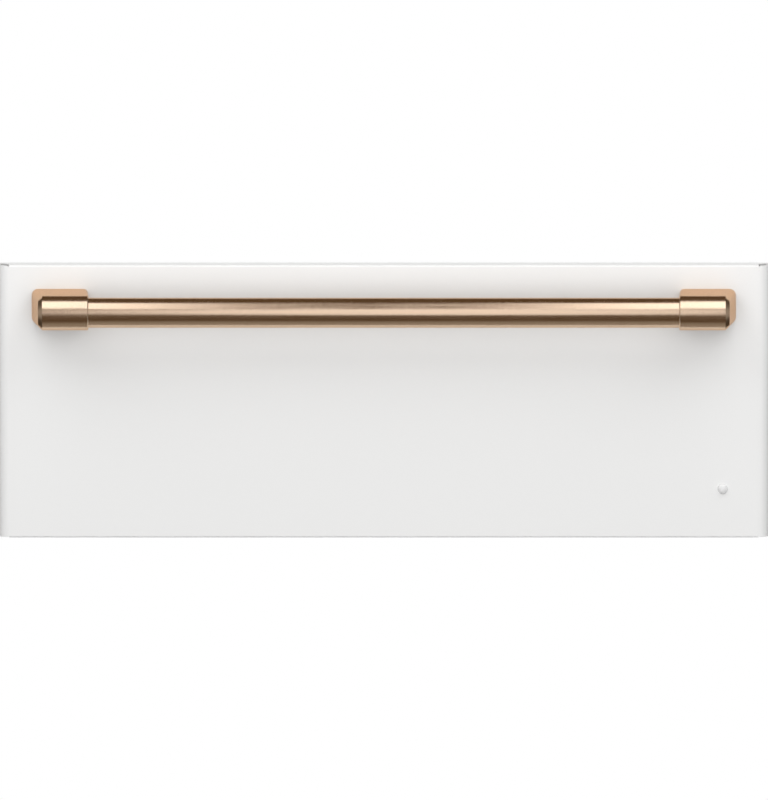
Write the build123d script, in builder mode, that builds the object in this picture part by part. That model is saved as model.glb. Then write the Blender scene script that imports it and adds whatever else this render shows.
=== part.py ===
from build123d import *
import os
from math import cos, radians, sin

# A built-in warming drawer, in millimetres.
# Origin: the middle of the seat on the cabinet face. X runs to the right, Y into the cabinet, Z up.
# The drawer is shut. Its white front stands proud of the cabinet. The low case lies behind its lower part,
# so that nothing of the case shows over the front.

# ---- white front of the drawer ----
panel_width = 755.6
panel_height = 269.9
panel_depth = 22.0
panel_sheet = 1.0
side_bend = 10.0  # outer radius of the two upright edges
edge_bend = 1.8  # outer radius of the top and bottom edges
panel_lip = 12.0
lip_bend = 1.5
backer_sheet = 1.0
backer_inset = 2.0
seal_gap = 5.0  # from the backer to the fixed front
outlet_length = 34.0
outlet_width = 6.0
outlet_pitch = 60.0
outlet_count = 8

# ---- bar handle ----
handle_drop = 40.5  # from the top edge of the front down to the bar
handle_standoff = 47.0  # from the face to the bar's centre line
bar_radius = 14.7
bar_wall = 1.5
sleeve_radius = 17.2
sleeve_inset = 37.6  # from the front's side edge in to the sleeve's outer end
sleeve_length = 49.2
sleeve_chamfer = 4.0
sleeve_lip = 0.8
bar_engagement = 12.0
socket_clearance = 0.1
foot_length = 55.0
foot_corner = 4.0
foot_inset = 1.0  # how far the foot starts out from the sleeve's inner end
handle_screw_radius = 2.5
handle_screw_pitch = 18.0
handle_screw_reach = 14.0  # how far it goes into the bracket
handle_screw_room = 2.0  # left past its tip
handle_head_radius = 5.0
handle_head_height = 4.0
screw_hole_clearance = 0.25

# ---- indicator lens ----
lens_offset = 11.9  # from the cavity's side wall out to the lens
lens_rise = 47.4  # from the bottom edge of the front up to the lens
lens_radius = 5.4
lens_height = 3.4
lens_stem_radius = 3.0
lens_barb_radius = 4.2
lens_rear_gap = 1.0
lens_dome_turn = 20.0  # degrees, a place on the dome's curve
stem_clearance = 0.3
stem_room = 1.0  # round the barb, in the insulation

# ---- opening, case and cavity ----
opening_side_inset = 55.8  # from the front's side edge in to the cavity
roof_depth = 19.7  # from the case's top down to the cavity's roof
floor_depth = 15.7  # from the case's bottom up to the cavity's floor
opening_corner = 6.0
case_side_inset = 19.05  # from the front's side edge in to the case
case_top_inset = 79.95  # from the front's top edge down to the case
case_bottom_inset = 19.05
case_depth = 578.0
case_sheet = 0.9
case_bend = 3.0
case_flange = 14.0
case_slot_length = 30.0
case_slot_width = 4.0
case_slot_pitch_x = 46.0
case_slot_pitch_z = 12.0
case_slot_columns = 12
case_slot_rows = 2
case_slot_drop = 34.0  # from the case's top edge down to the middle of the slots
flange_sheet = 1.2
flange_reach_x = 12.25  # from the case out to the flange's edge
flange_reach_z = 12.1
flange_fit = 0.1
mount_reach = 6.45  # from the case's side out to a mounting hole
mount_drop = 15.9  # from the case's top edge down to a mounting hole
mount_hole_radius = 2.4
liner_sheet = 0.8
liner_rear_margin = 6.0
wiring_depth = 56.0  # from the cavity's rear wall to the back of the case
pad_clearance = 0.3
rear_pad_depth = 17.0

# ---- controls on the fixed front, covered by the shut drawer ----
knob_offset = 23.0  # from the cavity's side wall out to the knob's axis
knob_z = 40.0
knob_radius = 11.5
knob_length = 13.5
knob_skirt = 3.0
knob_grip_width = 7.0
knob_grip_inset = 1.0
knob_draft = 3.0  # degrees
knob_chamfer = 0.6
knob_edge = 1.0
knob_gap = 0.3  # to the dial plate
knob_pocket_clearance = 4.0
shaft_radius = 2.9
shaft_in_knob = 9.0
shaft_in_switch = 9.0
shaft_clearance = 0.3
shaft_flat = 0.87
switch_width = 22.0
switch_height = 28.0
switch_depth = 30.0
switch_bush_radius = 4.5
switch_tab_length = 7.0
switch_tab_width = 6.0
switch_tab_sheet = 0.8
switch_corner = 2.0
dial_width = 32.0
dial_height = 46.0
dial_sheet = 0.5
dial_corner = 3.0
lamp_radius = 5.5
lamp_depth = 20.0
lamp_dome_radius = 3.2
lamp_dome_height = 2.6
notch_clearance = 2.0
notch_run = 10.0  # beside the switch, for its wires

# ---- heating ----
element_radius = 3.25
element_rise = 12.2  # from the cavity's floor up to the tube
element_bend = 26.0
element_side_gap = 82.0  # from the cavity's wall in to the outer run
element_inner_x = 80.0
element_front_y = 70.0
element_turn_gap = 92.0  # from the cavity's end to the inner turn
element_return_gap = 34.0
element_tail_pitch = 40.0
element_tail = 26.0  # past the rear wall
tail_room = 15.0  # round the tails, in the rear pad
bush_wall = 2.6
bush_length = 10.0
bush_clearance = 0.1
reflector_side_gap = 22.0
reflector_front_y = 40.0
reflector_rear_gap = 16.0
reflector_sheet = 0.8
reflector_bend = 1.5
reflector_rise = 3.6
clip_sheet = 0.8
clip_foot = 9.0
clip_length = 9.0
clip_flat = 0.15  # straight at the top of a clip
clip_front_y = 150.0
clip_rear_y = 350.0
limiter_x = -110.0
limiter_z = 38.0
limiter_radius = 8.0
limiter_height = 7.0
limiter_flange_length = 34.0
limiter_flange_width = 11.0
limiter_flange_sheet = 0.8
limiter_tab_width = 6.4

# ---- wiring space at the back ----
entry_radius = 11.1
entry_x = 236.0
entry_rise = 53.9  # from the case's bottom edge up to the entry
junction_x = 196.0
junction_width = 150.0
junction_height = 74.0
junction_sheet = 1.2
junction_lap = 10.0
block_width = 44.0
block_depth = 18.0
block_height = 22.0
block_x = 150.0
block_gap = 2.0  # behind the rear pad
well_count = 3
well_side = 1.5
well_end = 2.5
loom_radius = 2.5
loom_offset = 4.0  # out from the knob's axis
loom_bend = 14.0
loom_clearance = 1.5
case_screw_radius = 1.9

# ---- runners ----
slide_z = 10.0
slide_front_y = 8.0
slide_rear_room = 24.0  # from its rear end to the cavity's rear wall
slide_sheet = 1.2
runner_bend = 0.9
slide_width = 12.7
outer_half = 22.8
outer_reach = 9.6
outer_lip = 1.7
middle_half = 17.2
middle_web = 2.2
middle_reach = 10.4
middle_lip = 1.4
inner_half = 11.6
inner_reach = 7.8
ball_radius = 2.0
outer_ball_u = 5.4
inner_ball_u = 7.0
cage_sheet = 0.5
cage_bend = 0.5
cage_length = 250.0
cage_front_y = 125.0
cage_web_gap = 0.25
cage_arm_past_ball = 2.7
ball_hole_clearance = 0.15
balls_per_row = 5
ball_pitch = 56.0
bumper_length = 8.0
bumper_height = 16.0
bumper_gap = 0.3
bumper_chamfer = 2.0
lever_front_y = 20.0
lever_length = 88.0
lever_height = 7.0
lever_thickness = 2.8
lever_gap = 0.3
lever_pivot_radius = 1.5
lever_pivot_inset = 8.0
pivot_clearance = 0.15

# ---- drawer box and pan ----
box_sheet = 1.2
box_top_gap = 21.0  # from the cavity's roof down to the box
box_bottom_gap = 42.2  # from the cavity's floor up to the box
box_flange = 10.0
box_bend = 2.0
front_tab = 14.0
tab_top_gap = 13.2
tab_bottom_gap = 8.0
pan_side_gap = 1.9  # from the box's flange to the pan
pan_front_y = 8.0
pan_rear_gap = 12.0
pan_rise = 27.2  # from the cavity's floor up to the pan
pan_sheet = 0.8
pan_corner = 24.0
pan_floor_radius = 14.0
rim_inset = 1.3  # from the box's outer face in to the rim's edge
rim_front_y = -4.8
rim_corner = 6.0
gasket_width = 5.0
gasket_margin = 1.0
gasket_gap = 0.3
gasket_chamfer = 1.0
box_screw_radius = 1.9
box_screw_inset = 7.0
tab_screw_margin = 12.0
panel_screw_pitch = 250.0
head_height = 2.0
head_radius = 3.6

# ---- vent ----
vent_drop = 9.2  # from the cavity's roof down to the slots
vent_slot_width = 10.0
vent_slot_height = 9.0
vent_pitch = 24.0
vent_count = 10
vent_slide_sheet = 0.8
vent_slide_length = 276.0
vent_slide_height = 15.0
vent_travel = 12.0
vent_guide_gap = 0.3
vent_guide_lip = 2.0
vent_guide_sheet = 0.6
vent_guide_end = 2.0
vent_slide_gap = 0.1
vent_tab_width = 9.0
vent_tab_height = 1.6
vent_tab_reach = 3.0
duct_depth = 8.0
duct_width = 300.0

# ---- loose rack on the pan floor ----
rack_left_x = 4.0
rack_side_gap = 8.0
rack_end_gap = 18.0
rack_height = 45.0
rack_frame_radius = 2.5
rack_wire_radius = 1.4
rack_wire_count = 11
rack_weld = 0.4  # how deep crossing wires sink into each other
rack_corner = 18.0
rack_leg_inset = 60.0
rack_foot_gap = 0.3

# ---- places that follow from the sizes above ----
flange_front_y = -flange_sheet
backer_rear_y = flange_front_y - seal_gap
backer_front_y = backer_rear_y - backer_sheet
panel_face_y = backer_front_y - panel_depth
face_rear_y = panel_face_y + panel_sheet
handle_y = panel_face_y - handle_standoff
case_height = panel_height - case_top_inset - case_bottom_inset
panel_mid_z = case_height / 2 + case_top_inset - panel_height / 2
panel_top = panel_mid_z + panel_height / 2
panel_bottom = panel_mid_z - panel_height / 2
handle_z = panel_top - handle_drop
lens_z = panel_bottom + lens_rise
sleeve_outer_x = panel_width / 2 - sleeve_inset
sleeve_inner_x = sleeve_outer_x - sleeve_length
foot_mid_x = sleeve_inner_x + foot_inset + foot_length / 2
handle_screws_xz = [
    (side * foot_mid_x, handle_z + step * handle_screw_pitch / 2) for side in (-1, 1) for step in (-1, 1)
]
panel_screw_z = panel_height / 2 - panel_sheet - panel_lip / 2
panel_screws_xz = [
    (column * panel_screw_pitch, panel_mid_z + row * panel_screw_z)
    for column in (-1, 0, 1)
    for row in (-1, 1)
]
opening_width = panel_width - 2 * opening_side_inset
opening_top = case_height / 2 - roof_depth
opening_bottom = floor_depth - case_height / 2
opening_height = opening_top - opening_bottom
opening_mid_z = (opening_top + opening_bottom) / 2
case_width = panel_width - 2 * case_side_inset
flange_width = case_width + 2 * flange_reach_x
flange_height = case_height + 2 * flange_reach_z
mount_spacing_x = case_width + 2 * mount_reach
mount_spacing_z = case_height - 2 * mount_drop
liner_depth = case_depth - wiring_depth
wall_x = opening_width / 2  # inner face of the cavity's side walls
knob_x = -wall_x - knob_offset
lens_x = wall_x + lens_offset
box_x = wall_x - slide_width  # outer face of the drawer box
box_top = opening_top - box_top_gap
box_bottom = opening_bottom + box_bottom_gap
front_tab_top = box_top - tab_top_gap
front_tab_bottom = box_bottom + tab_bottom_gap
slide_rear_y = liner_depth - slide_rear_room
slide_length = slide_rear_y - slide_front_y
pan_width = 2 * (box_x - box_sheet / 2 - box_flange - pan_side_gap - pan_sheet)
pan_length = slide_rear_y - pan_rear_gap - pan_front_y
pan_floor = opening_bottom + pan_rise
rim_width = 2 * (box_x - rim_inset)
vent_z = opening_top - vent_drop
entry_z = entry_rise - case_height / 2
rack_right_x = pan_width / 2 - rack_side_gap
rack_front_y = pan_front_y + rack_end_gap
rack_rear_y = pan_front_y + pan_length - rack_end_gap
element_z = opening_bottom + element_rise
element_outer_x = wall_x - element_side_gap
element_exit_x = element_outer_x - element_tail_pitch
element_turn_y = liner_depth - element_turn_gap
element_return_y = liner_depth - element_return_gap
reflector_width = opening_width - 2 * reflector_side_gap
reflector_rear_y = liner_depth - reflector_rear_gap
tab_screws_xz = [
    (side * (box_x - box_screw_inset), z)
    for side in (-1, 1)
    for z in (front_tab_bottom + tab_screw_margin, front_tab_top - tab_screw_margin)
]
liner_outer_x = wall_x + liner_sheet
case_inner_x = case_width / 2 - case_sheet
case_inner_z = case_height / 2 - case_sheet
cavity_rear_y = liner_depth + liner_sheet
cavity_floor = opening_bottom
reflector_top = cavity_floor + reflector_rise + reflector_sheet
loom_x = knob_x - loom_offset
pan_rim_under = box_top
pan_rim_top = box_top + pan_sheet
pan_mid_y = pan_front_y + pan_length / 2
slide_edge = vent_slide_height / 2 + vent_guide_gap


def across(y):
    """The upright plane across the drawer at depth y, facing the room."""
    return Plane.XZ.offset(-y)


def sheet_path(points, radii, sheet):
    """A bent sheet's section in the current sketch, from its middle line."""
    with BuildLine() as middle:
        FilletPolyline(*points, radius=radii)
    trace(middle.line, line_width=sheet)


# ================= fixed in the cabinet =================

# Front flange: the ring round the case that is screwed to the cabinet face.
with BuildPart() as front_flange:
    with BuildSketch(across(0)):
        RectangleRounded(flange_width, flange_height, case_bend)
        Rectangle(case_width + 2 * flange_fit, case_height + 2 * flange_fit, mode=Mode.SUBTRACT)
        with GridLocations(mount_spacing_x, mount_spacing_z, 2, 2):
            Circle(mount_hole_radius, mode=Mode.SUBTRACT)
    extrude(amount=flange_sheet)

# Front bulkhead: closes the space between case and cavity, and holds the controls.
with BuildPart() as front_bulkhead:
    with BuildSketch(across(0)):
        RectangleRounded(2 * case_inner_x - 2 * flange_fit, 2 * case_inner_z - 2 * flange_fit, case_bend)
        with Locations((0, opening_mid_z)):
            RectangleRounded(opening_width, opening_height, opening_corner, mode=Mode.SUBTRACT)
        with Locations((knob_x, knob_z)):
            Circle(switch_bush_radius + flange_fit, mode=Mode.SUBTRACT)
        with Locations((lens_x, lens_z)):
            Circle(lamp_dome_radius + flange_fit, mode=Mode.SUBTRACT)
    extrude(amount=flange_sheet)

# Outer case: one sheet folded over the top and both sides.
with BuildPart() as case_wrap:
    mid_x = case_width / 2 - case_sheet / 2
    mid_z = case_height / 2 - case_sheet / 2
    with BuildSketch(across(case_depth)):
        sheet_path(
            [(-mid_x, -case_height / 2), (-mid_x, mid_z), (mid_x, mid_z), (mid_x, -case_height / 2)],
            case_bend - case_sheet / 2,
            case_sheet,
        )
    extrude(amount=case_depth + flange_sheet)

# Base of the case, with upturned edges inside the wrap.
with BuildPart() as case_base:
    base_x = case_inner_x - flange_fit - case_sheet / 2
    base_z = case_sheet / 2 - case_height / 2
    flange_top = case_flange - case_height / 2
    with BuildSketch(across(case_depth)):
        sheet_path(
            [(-base_x, flange_top), (-base_x, base_z), (base_x, base_z), (base_x, flange_top)],
            case_bend - case_sheet / 2,
            case_sheet,
        )
    extrude(amount=case_depth - flange_fit)

# Rear of the case, with two forward flanges, the wiring opening and two rows of cooling slots.
with BuildPart() as case_rear:
    rear_y = case_depth - case_sheet / 2
    rear_z = case_inner_z - flange_fit - case_sheet / 2
    rear_x = case_inner_x - case_sheet - case_bend
    with BuildSketch(Plane.YZ.offset(-rear_x)):
        sheet_path(
            [
                (rear_y - case_flange, -rear_z),
                (rear_y, -rear_z),
                (rear_y, rear_z),
                (rear_y - case_flange, rear_z),
            ],
            case_bend - case_sheet / 2,
            case_sheet,
        )
    extrude(amount=2 * rear_x)
    with BuildSketch(across(case_depth)):
        with Locations((junction_x, entry_z)):
            RectangleRounded(junction_width - 2 * junction_lap, junction_height - 2 * junction_lap, case_bend)
            with GridLocations(junction_width - junction_lap, junction_height - junction_lap, 2, 2):
                Circle(case_screw_radius)
        with Locations((0, case_height / 2 - case_slot_drop)):
            with GridLocations(case_slot_pitch_x, case_slot_pitch_z, case_slot_columns, case_slot_rows):
                SlotOverall(case_slot_length, case_slot_width)
    extrude(amount=2 * case_sheet, mode=Mode.SUBTRACT)

# Cover over the wiring opening, with the hole for the supply fitting.
with BuildPart() as junction_cover:
    with BuildSketch(across(case_depth + junction_sheet)):
        with Locations((junction_x, entry_z)):
            RectangleRounded(junction_width, junction_height, case_bend)
            with GridLocations(junction_width - junction_lap, junction_height - junction_lap, 2, 2):
                Circle(case_screw_radius + screw_hole_clearance, mode=Mode.SUBTRACT)
        with Locations((entry_x, entry_z)):
            Circle(entry_radius, mode=Mode.SUBTRACT)
    extrude(amount=junction_sheet)

# Four hex-head screws that hold the cover.
with BuildPart() as case_screws:
    with BuildSketch(across(case_depth + junction_sheet + head_height)):
        with Locations((junction_x, entry_z)):
            with GridLocations(junction_width - junction_lap, junction_height - junction_lap, 2, 2):
                RegularPolygon(head_radius, 6)
    extrude(amount=head_height)
    with BuildSketch(across(case_depth + junction_sheet)):
        with Locations((junction_x, entry_z)):
            with GridLocations(junction_width - junction_lap, junction_height - junction_lap, 2, 2):
                Circle(case_screw_radius)
    extrude(amount=junction_sheet + case_flange / 2)

# Terminal block, three wells in a ceramic body, on the base.
with BuildPart() as terminal_block:
    block_y = cavity_rear_y + rear_pad_depth + block_gap + block_depth / 2
    base_top = case_sheet - case_height / 2
    with Locations((block_x, block_y, base_top + block_height / 2)):
        Box(block_width, block_depth, block_height)
    chamfer(terminal_block.edges().filter_by(Axis.Z), case_sheet)
    with BuildSketch(Plane.XY.offset(base_top + block_height)):
        with Locations((block_x, block_y)):
            with GridLocations(block_width / well_count, 0, well_count, 1):
                Rectangle(block_width / well_count - 2 * well_side, block_depth - 2 * well_end)
    extrude(amount=-block_height / 2, mode=Mode.SUBTRACT)

# Cavity liner: a tube of sheet with rounded corners, open at the front.
with BuildPart() as cavity_liner:
    with BuildSketch(across(liner_depth)):
        with Locations((0, opening_mid_z)):
            RectangleRounded(
                opening_width + 2 * liner_sheet, opening_height + 2 * liner_sheet, opening_corner + liner_sheet
            )
            RectangleRounded(opening_width, opening_height, opening_corner, mode=Mode.SUBTRACT)
    extrude(amount=liner_depth)

# Rear wall of the cavity.
tail_places = [(element_outer_x, element_z), (element_exit_x, element_z)]
with BuildPart() as cavity_rear:
    with BuildSketch(across(cavity_rear_y)):
        with Locations((0, opening_mid_z)):
            RectangleRounded(
                opening_width + 2 * liner_rear_margin, opening_height + 2 * liner_rear_margin, opening_corner
            )
        with Locations(*tail_places):
            Circle(element_radius + bush_clearance + bush_wall, mode=Mode.SUBTRACT)
    extrude(amount=liner_sheet)

# Insulation round the cavity.
pad_front_y = pad_clearance
pad_rear_y = cavity_rear_y + rear_pad_depth
side_pad_top = opening_top + liner_sheet
side_pad_bottom = opening_bottom - liner_sheet
pad_x = case_inner_x - case_bend
side_pad_outer_x = case_inner_x - 2 * case_sheet - pad_clearance


def flat_pad(bottom, top, half_width):
    """A level pad of insulation over the depth of the cavity, between two heights."""
    with BuildPart() as pad:
        with BuildSketch(across(liner_depth - pad_clearance)):
            with Locations((0, (bottom + top) / 2)):
                Rectangle(2 * half_width, top - bottom)
        extrude(amount=liner_depth - pad_clearance - pad_front_y)
    return pad


insulation_top = flat_pad(side_pad_top + pad_clearance, case_inner_z - pad_clearance, pad_x)
insulation_base = flat_pad(
    case_sheet + pad_clearance - case_height / 2, side_pad_bottom - pad_clearance, side_pad_outer_x
)


def side_pad(side):
    """The pad beside the cavity; side is -1 for the left and 1 for the right."""
    inner_x = liner_outer_x + pad_clearance
    with BuildPart() as pad:
        with BuildSketch(across(liner_depth - pad_clearance)):
            with Locations((side * (inner_x + side_pad_outer_x) / 2, opening_mid_z)):
                Rectangle(side_pad_outer_x - inner_x, side_pad_top - side_pad_bottom)
        extrude(amount=liner_depth - pad_clearance - pad_front_y)
    return pad


# The left pad has a notch for the switch and a channel for the loom behind it.
with BuildPart() as insulation_left:
    add(side_pad(-1).part)
    with BuildSketch(across(0)):
        with Locations((knob_x, knob_z)):
            Rectangle(
                switch_width + 2 * (notch_clearance + notch_run),
                switch_height + 2 * (switch_tab_length + notch_clearance),
            )
    extrude(amount=-(switch_depth + loom_bend + 2 * notch_clearance), mode=Mode.SUBTRACT)
    with BuildSketch(across(0)):
        with Locations((loom_x, knob_z)):
            Rectangle(2 * (loom_radius + loom_clearance), 2 * (loom_radius + loom_clearance))
    extrude(amount=-liner_depth, mode=Mode.SUBTRACT)

# The right pad has a notch for the indicator lamp.
with BuildPart() as insulation_right:
    add(side_pad(1).part)
    with BuildSketch(across(0)):
        with Locations((lens_x, lens_z)):
            Rectangle(2 * (lamp_radius + 3 * notch_clearance), 2 * (lamp_radius + 3 * notch_clearance))
    extrude(amount=-(lamp_depth + 5 * notch_clearance), mode=Mode.SUBTRACT)

# The rear pad clears the element's tails and the temperature limiter.
with BuildPart() as insulation_rear:
    with BuildSketch(across(pad_rear_y)):
        Rectangle(2 * side_pad_outer_x, 2 * (case_inner_z - pad_clearance))
        with Locations(((element_outer_x + element_exit_x) / 2, element_z)):
            Rectangle(element_tail_pitch + 2 * tail_room, 2 * tail_room, mode=Mode.SUBTRACT)
        with Locations((limiter_x, limiter_z)):
            Rectangle(
                limiter_flange_length + 2 * notch_clearance,
                2 * (limiter_radius + 2 * notch_clearance),
                mode=Mode.SUBTRACT,
            )
        with Locations((loom_x, knob_z)):
            Rectangle(
                2 * (loom_radius + loom_clearance), 2 * (loom_radius + loom_clearance), mode=Mode.SUBTRACT
            )
    extrude(amount=rear_pad_depth - pad_clearance)

# Heating element: one tube bent into a flat loop under the pan, with both tails through the rear wall.
tail_y = cavity_rear_y + element_tail
with BuildPart() as heating_element:
    with BuildLine(Plane.XY.offset(element_z)):
        FilletPolyline(
            (element_outer_x, tail_y),
            (element_outer_x, element_front_y),
            (element_inner_x, element_front_y),
            (element_inner_x, element_turn_y),
            (-element_inner_x, element_turn_y),
            (-element_inner_x, element_front_y),
            (-element_outer_x, element_front_y),
            (-element_outer_x, element_return_y),
            (element_exit_x, element_return_y),
            (element_exit_x, tail_y),
            radius=element_bend,
        )
    with BuildSketch(Plane(origin=(element_outer_x, tail_y, element_z), z_dir=(0, -1, 0))):
        Circle(element_radius)
    sweep()

# Ceramic bushes where the tails pass the rear wall.
with BuildPart() as element_bushes:
    with BuildSketch(across(liner_depth + bush_length)):
        with Locations(*tail_places):
            Circle(element_radius + bush_clearance + bush_wall)
            Circle(element_radius + bush_clearance, mode=Mode.SUBTRACT)
    extrude(amount=bush_length + liner_sheet)

# Heat reflector: a shallow channel that stands on the cavity floor under the element.
with BuildPart() as heat_reflector:
    reflector_x = reflector_width / 2 - reflector_sheet / 2
    with BuildSketch(across(reflector_rear_y)):
        sheet_path(
            [
                (-reflector_x, cavity_floor),
                (-reflector_x, reflector_top - reflector_sheet / 2),
                (reflector_x, reflector_top - reflector_sheet / 2),
                (reflector_x, cavity_floor),
            ],
            reflector_bend,
            reflector_sheet,
        )
    extrude(amount=reflector_rear_y - reflector_front_y)

# Saddle clips that hold the element on the reflector.
clip_inner = element_radius + bush_clearance
clip_mid = clip_inner + clip_sheet / 2
clip_bend = clip_mid - clip_flat / 2
clip_places = [
    (x, y)
    for x in (-element_outer_x, -element_inner_x, element_inner_x, element_outer_x)
    for y in (clip_front_y, clip_rear_y)
]
with BuildPart() as element_clips:
    for x, y in clip_places:
        foot_z = reflector_top + clip_sheet / 2
        with BuildSketch(across(y + clip_length / 2)):
            sheet_path(
                [
                    (x - clip_mid - clip_foot, foot_z),
                    (x - clip_mid, foot_z),
                    (x - clip_mid, element_z + clip_mid),
                    (x + clip_mid, element_z + clip_mid),
                    (x + clip_mid, foot_z),
                    (x + clip_mid + clip_foot, foot_z),
                ],
                [clip_sheet, clip_bend, clip_bend, clip_sheet],
                clip_sheet,
            )
        extrude(amount=clip_length)

# Temperature limiter: a bimetal disc in a cup, on a flange against the rear wall.
with BuildPart() as thermal_limiter:
    with BuildSketch(across(cavity_rear_y)):
        with Locations((limiter_x, limiter_z)):
            SlotOverall(limiter_flange_length, limiter_flange_width)
    extrude(amount=-limiter_flange_sheet)
    with BuildSketch(across(cavity_rear_y)):
        with Locations((limiter_x, limiter_z)):
            Circle(limiter_radius)
    extrude(amount=-limiter_height)
    with BuildSketch(across(cavity_rear_y + limiter_height)):
        with Locations((limiter_x, limiter_z)):
            with GridLocations(limiter_radius, 0, 2, 1):
                Rectangle(limiter_flange_sheet, limiter_tab_width)
    extrude(amount=-limiter_height)

# Switch: a box behind the bulkhead, with a bush through it.
with BuildPart() as control_switch:
    with Locations((knob_x, switch_depth / 2, knob_z)):
        Box(switch_width, switch_depth, switch_height)
    fillet(control_switch.edges().filter_by(Axis.Y), switch_corner)
    with BuildSketch(across(0)):
        with Locations((knob_x, knob_z)):
            Circle(switch_bush_radius)
    extrude(amount=flange_sheet)
    with BuildSketch(across(switch_depth)):
        with Locations((knob_x, knob_z)):
            with GridLocations(switch_width / 2, switch_height / 2, 2, 2):
                Rectangle(switch_tab_sheet, switch_tab_width)
    extrude(amount=-switch_tab_length)
    with BuildSketch(across(flange_front_y)):
        with Locations((knob_x, knob_z)):
            Circle(shaft_radius + shaft_clearance)
    extrude(amount=-(shaft_in_switch + flange_sheet + shaft_clearance), mode=Mode.SUBTRACT)

# Shaft with a flat, from inside the switch into the knob.
knob_rear_y = flange_front_y - dial_sheet - knob_gap
knob_front_y = knob_rear_y - knob_length
with BuildPart() as switch_shaft:
    with BuildSketch(across(shaft_in_switch)):
        with Locations((knob_x, knob_z)):
            Circle(shaft_radius)
    extrude(amount=shaft_in_switch - knob_rear_y)
    with BuildSketch(across(knob_rear_y)):
        with Locations((knob_x, knob_z)):
            Circle(shaft_radius)
            with Locations((shaft_radius, 0)):
                Rectangle(2 * shaft_flat, 3 * shaft_radius, mode=Mode.SUBTRACT)
    extrude(amount=shaft_in_knob)

# Knob: a round skirt with a rounded bar to grip.
with BuildPart() as control_knob:
    with BuildSketch(across(knob_rear_y)):
        with Locations((knob_x, knob_z)):
            Circle(knob_radius)
    extrude(amount=knob_skirt)
    chamfer(control_knob.faces().sort_by(Axis.Y)[0].edges(), knob_chamfer)
    with BuildSketch(across(knob_rear_y - knob_skirt)):
        with Locations((knob_x, knob_z)):
            SlotOverall(2 * (knob_radius - knob_grip_inset), knob_grip_width, rotation=90)
    extrude(amount=knob_length - knob_skirt, taper=knob_draft)
    fillet(control_knob.faces().sort_by(Axis.Y)[0].edges(), knob_edge)
    with BuildSketch(across(knob_rear_y)):
        with Locations((knob_x, knob_z)):
            Circle(shaft_radius)
            with Locations((shaft_radius, 0)):
                Rectangle(2 * shaft_flat, 3 * shaft_radius, mode=Mode.SUBTRACT)
    extrude(amount=shaft_in_knob, mode=Mode.SUBTRACT)

# Dial plate behind the knob.
with BuildPart() as dial_plate:
    with BuildSketch(across(flange_front_y)):
        with Locations((knob_x, knob_z)):
            RectangleRounded(dial_width, dial_height, dial_corner)
            Circle(switch_bush_radius, mode=Mode.SUBTRACT)
    extrude(amount=dial_sheet)

# Indicator lamp behind the lens: a body, and a small dome through the bulkhead.
with BuildPart() as indicator_lamp:
    with BuildSketch(across(lamp_depth)):
        with Locations((lens_x, lens_z)):
            Circle(lamp_radius)
    extrude(amount=lamp_depth)
    with BuildSketch(across(0)):
        with Locations((lens_x, lens_z)):
            Circle(lamp_dome_radius)
    extrude(amount=flange_sheet + lamp_dome_height)
    chamfer(indicator_lamp.faces().sort_by(Axis.Y)[0].edges(), lamp_dome_height / 2)

# Wiring loom: one sleeve from the switch along the left side to the terminal block.
loom_end_z = base_top + block_height
with BuildPart() as wiring_loom:
    with BuildLine():
        FilletPolyline(
            (loom_x, switch_depth, knob_z),
            (loom_x, block_y, knob_z),
            (block_x, block_y, knob_z),
            (block_x, block_y, loom_end_z - block_height / 2),
            radius=loom_bend,
        )
    with BuildSketch(Plane(origin=(loom_x, switch_depth, knob_z), z_dir=(0, 1, 0))):
        Circle(loom_radius)
    sweep()


# ================= runners =================
# A runner's section is drawn with u, the distance in from the cavity wall, and w, the height over its middle.


def runner_points(side, points):
    """Turn (u, w) pairs into places on the plane across the drawer."""
    return [(side * (wall_x - u), slide_z + w) for u, w in points]


def outer_member(side):
    """Fixed channel on the cavity wall, with a stop plate behind it for the bumper."""
    with BuildPart() as member:
        half = outer_half - slide_sheet / 2
        web = slide_sheet / 2
        tip = outer_reach - slide_sheet / 2
        lip = half - slide_sheet / 2 - outer_lip
        section = [(tip, -lip), (tip, -half), (web, -half), (web, half), (tip, half), (tip, lip)]
        with BuildSketch(across(slide_rear_y)):
            sheet_path(runner_points(side, section), runner_bend, slide_sheet)
        extrude(amount=slide_length)
        with BuildSketch(Plane.YZ.offset(side * wall_x)):
            with Locations((slide_rear_y + bumper_length / 2, slide_z)):
                Rectangle(bumper_length + 2 * slide_sheet, 2 * inner_half)
        extrude(amount=-side * slide_sheet)
    return member


def middle_member(side):
    """Sliding channel between the other two, its flanges between the two rows of balls."""
    with BuildPart() as member:
        half = middle_half - slide_sheet / 2
        web = middle_web + slide_sheet / 2
        tip = middle_reach - slide_sheet / 2
        lip = half - slide_sheet / 2 - middle_lip
        section = [(tip, -lip), (tip, -half), (web, -half), (web, half), (tip, half), (tip, lip)]
        with BuildSketch(across(slide_rear_y)):
            sheet_path(runner_points(side, section), runner_bend, slide_sheet)
        extrude(amount=slide_length)
    return member


def inner_member(side):
    """Channel on the drawer's side, with the pin that the release lever turns on."""
    with BuildPart() as member:
        half = inner_half - slide_sheet / 2
        web = slide_width - slide_sheet / 2
        tip = slide_width - inner_reach
        section = [(tip, -half), (web, -half), (web, half), (tip, half)]
        with BuildSketch(across(slide_rear_y)):
            sheet_path(runner_points(side, section), runner_bend, slide_sheet)
        extrude(amount=slide_length)
        with BuildSketch(Plane.YZ.offset(side * (box_x + slide_sheet / 2))):
            with Locations((lever_front_y + lever_length - lever_pivot_inset, slide_z)):
                Circle(lever_pivot_radius)
        extrude(amount=side * (slide_sheet / 2 + lever_gap + lever_thickness))
    return member


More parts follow.
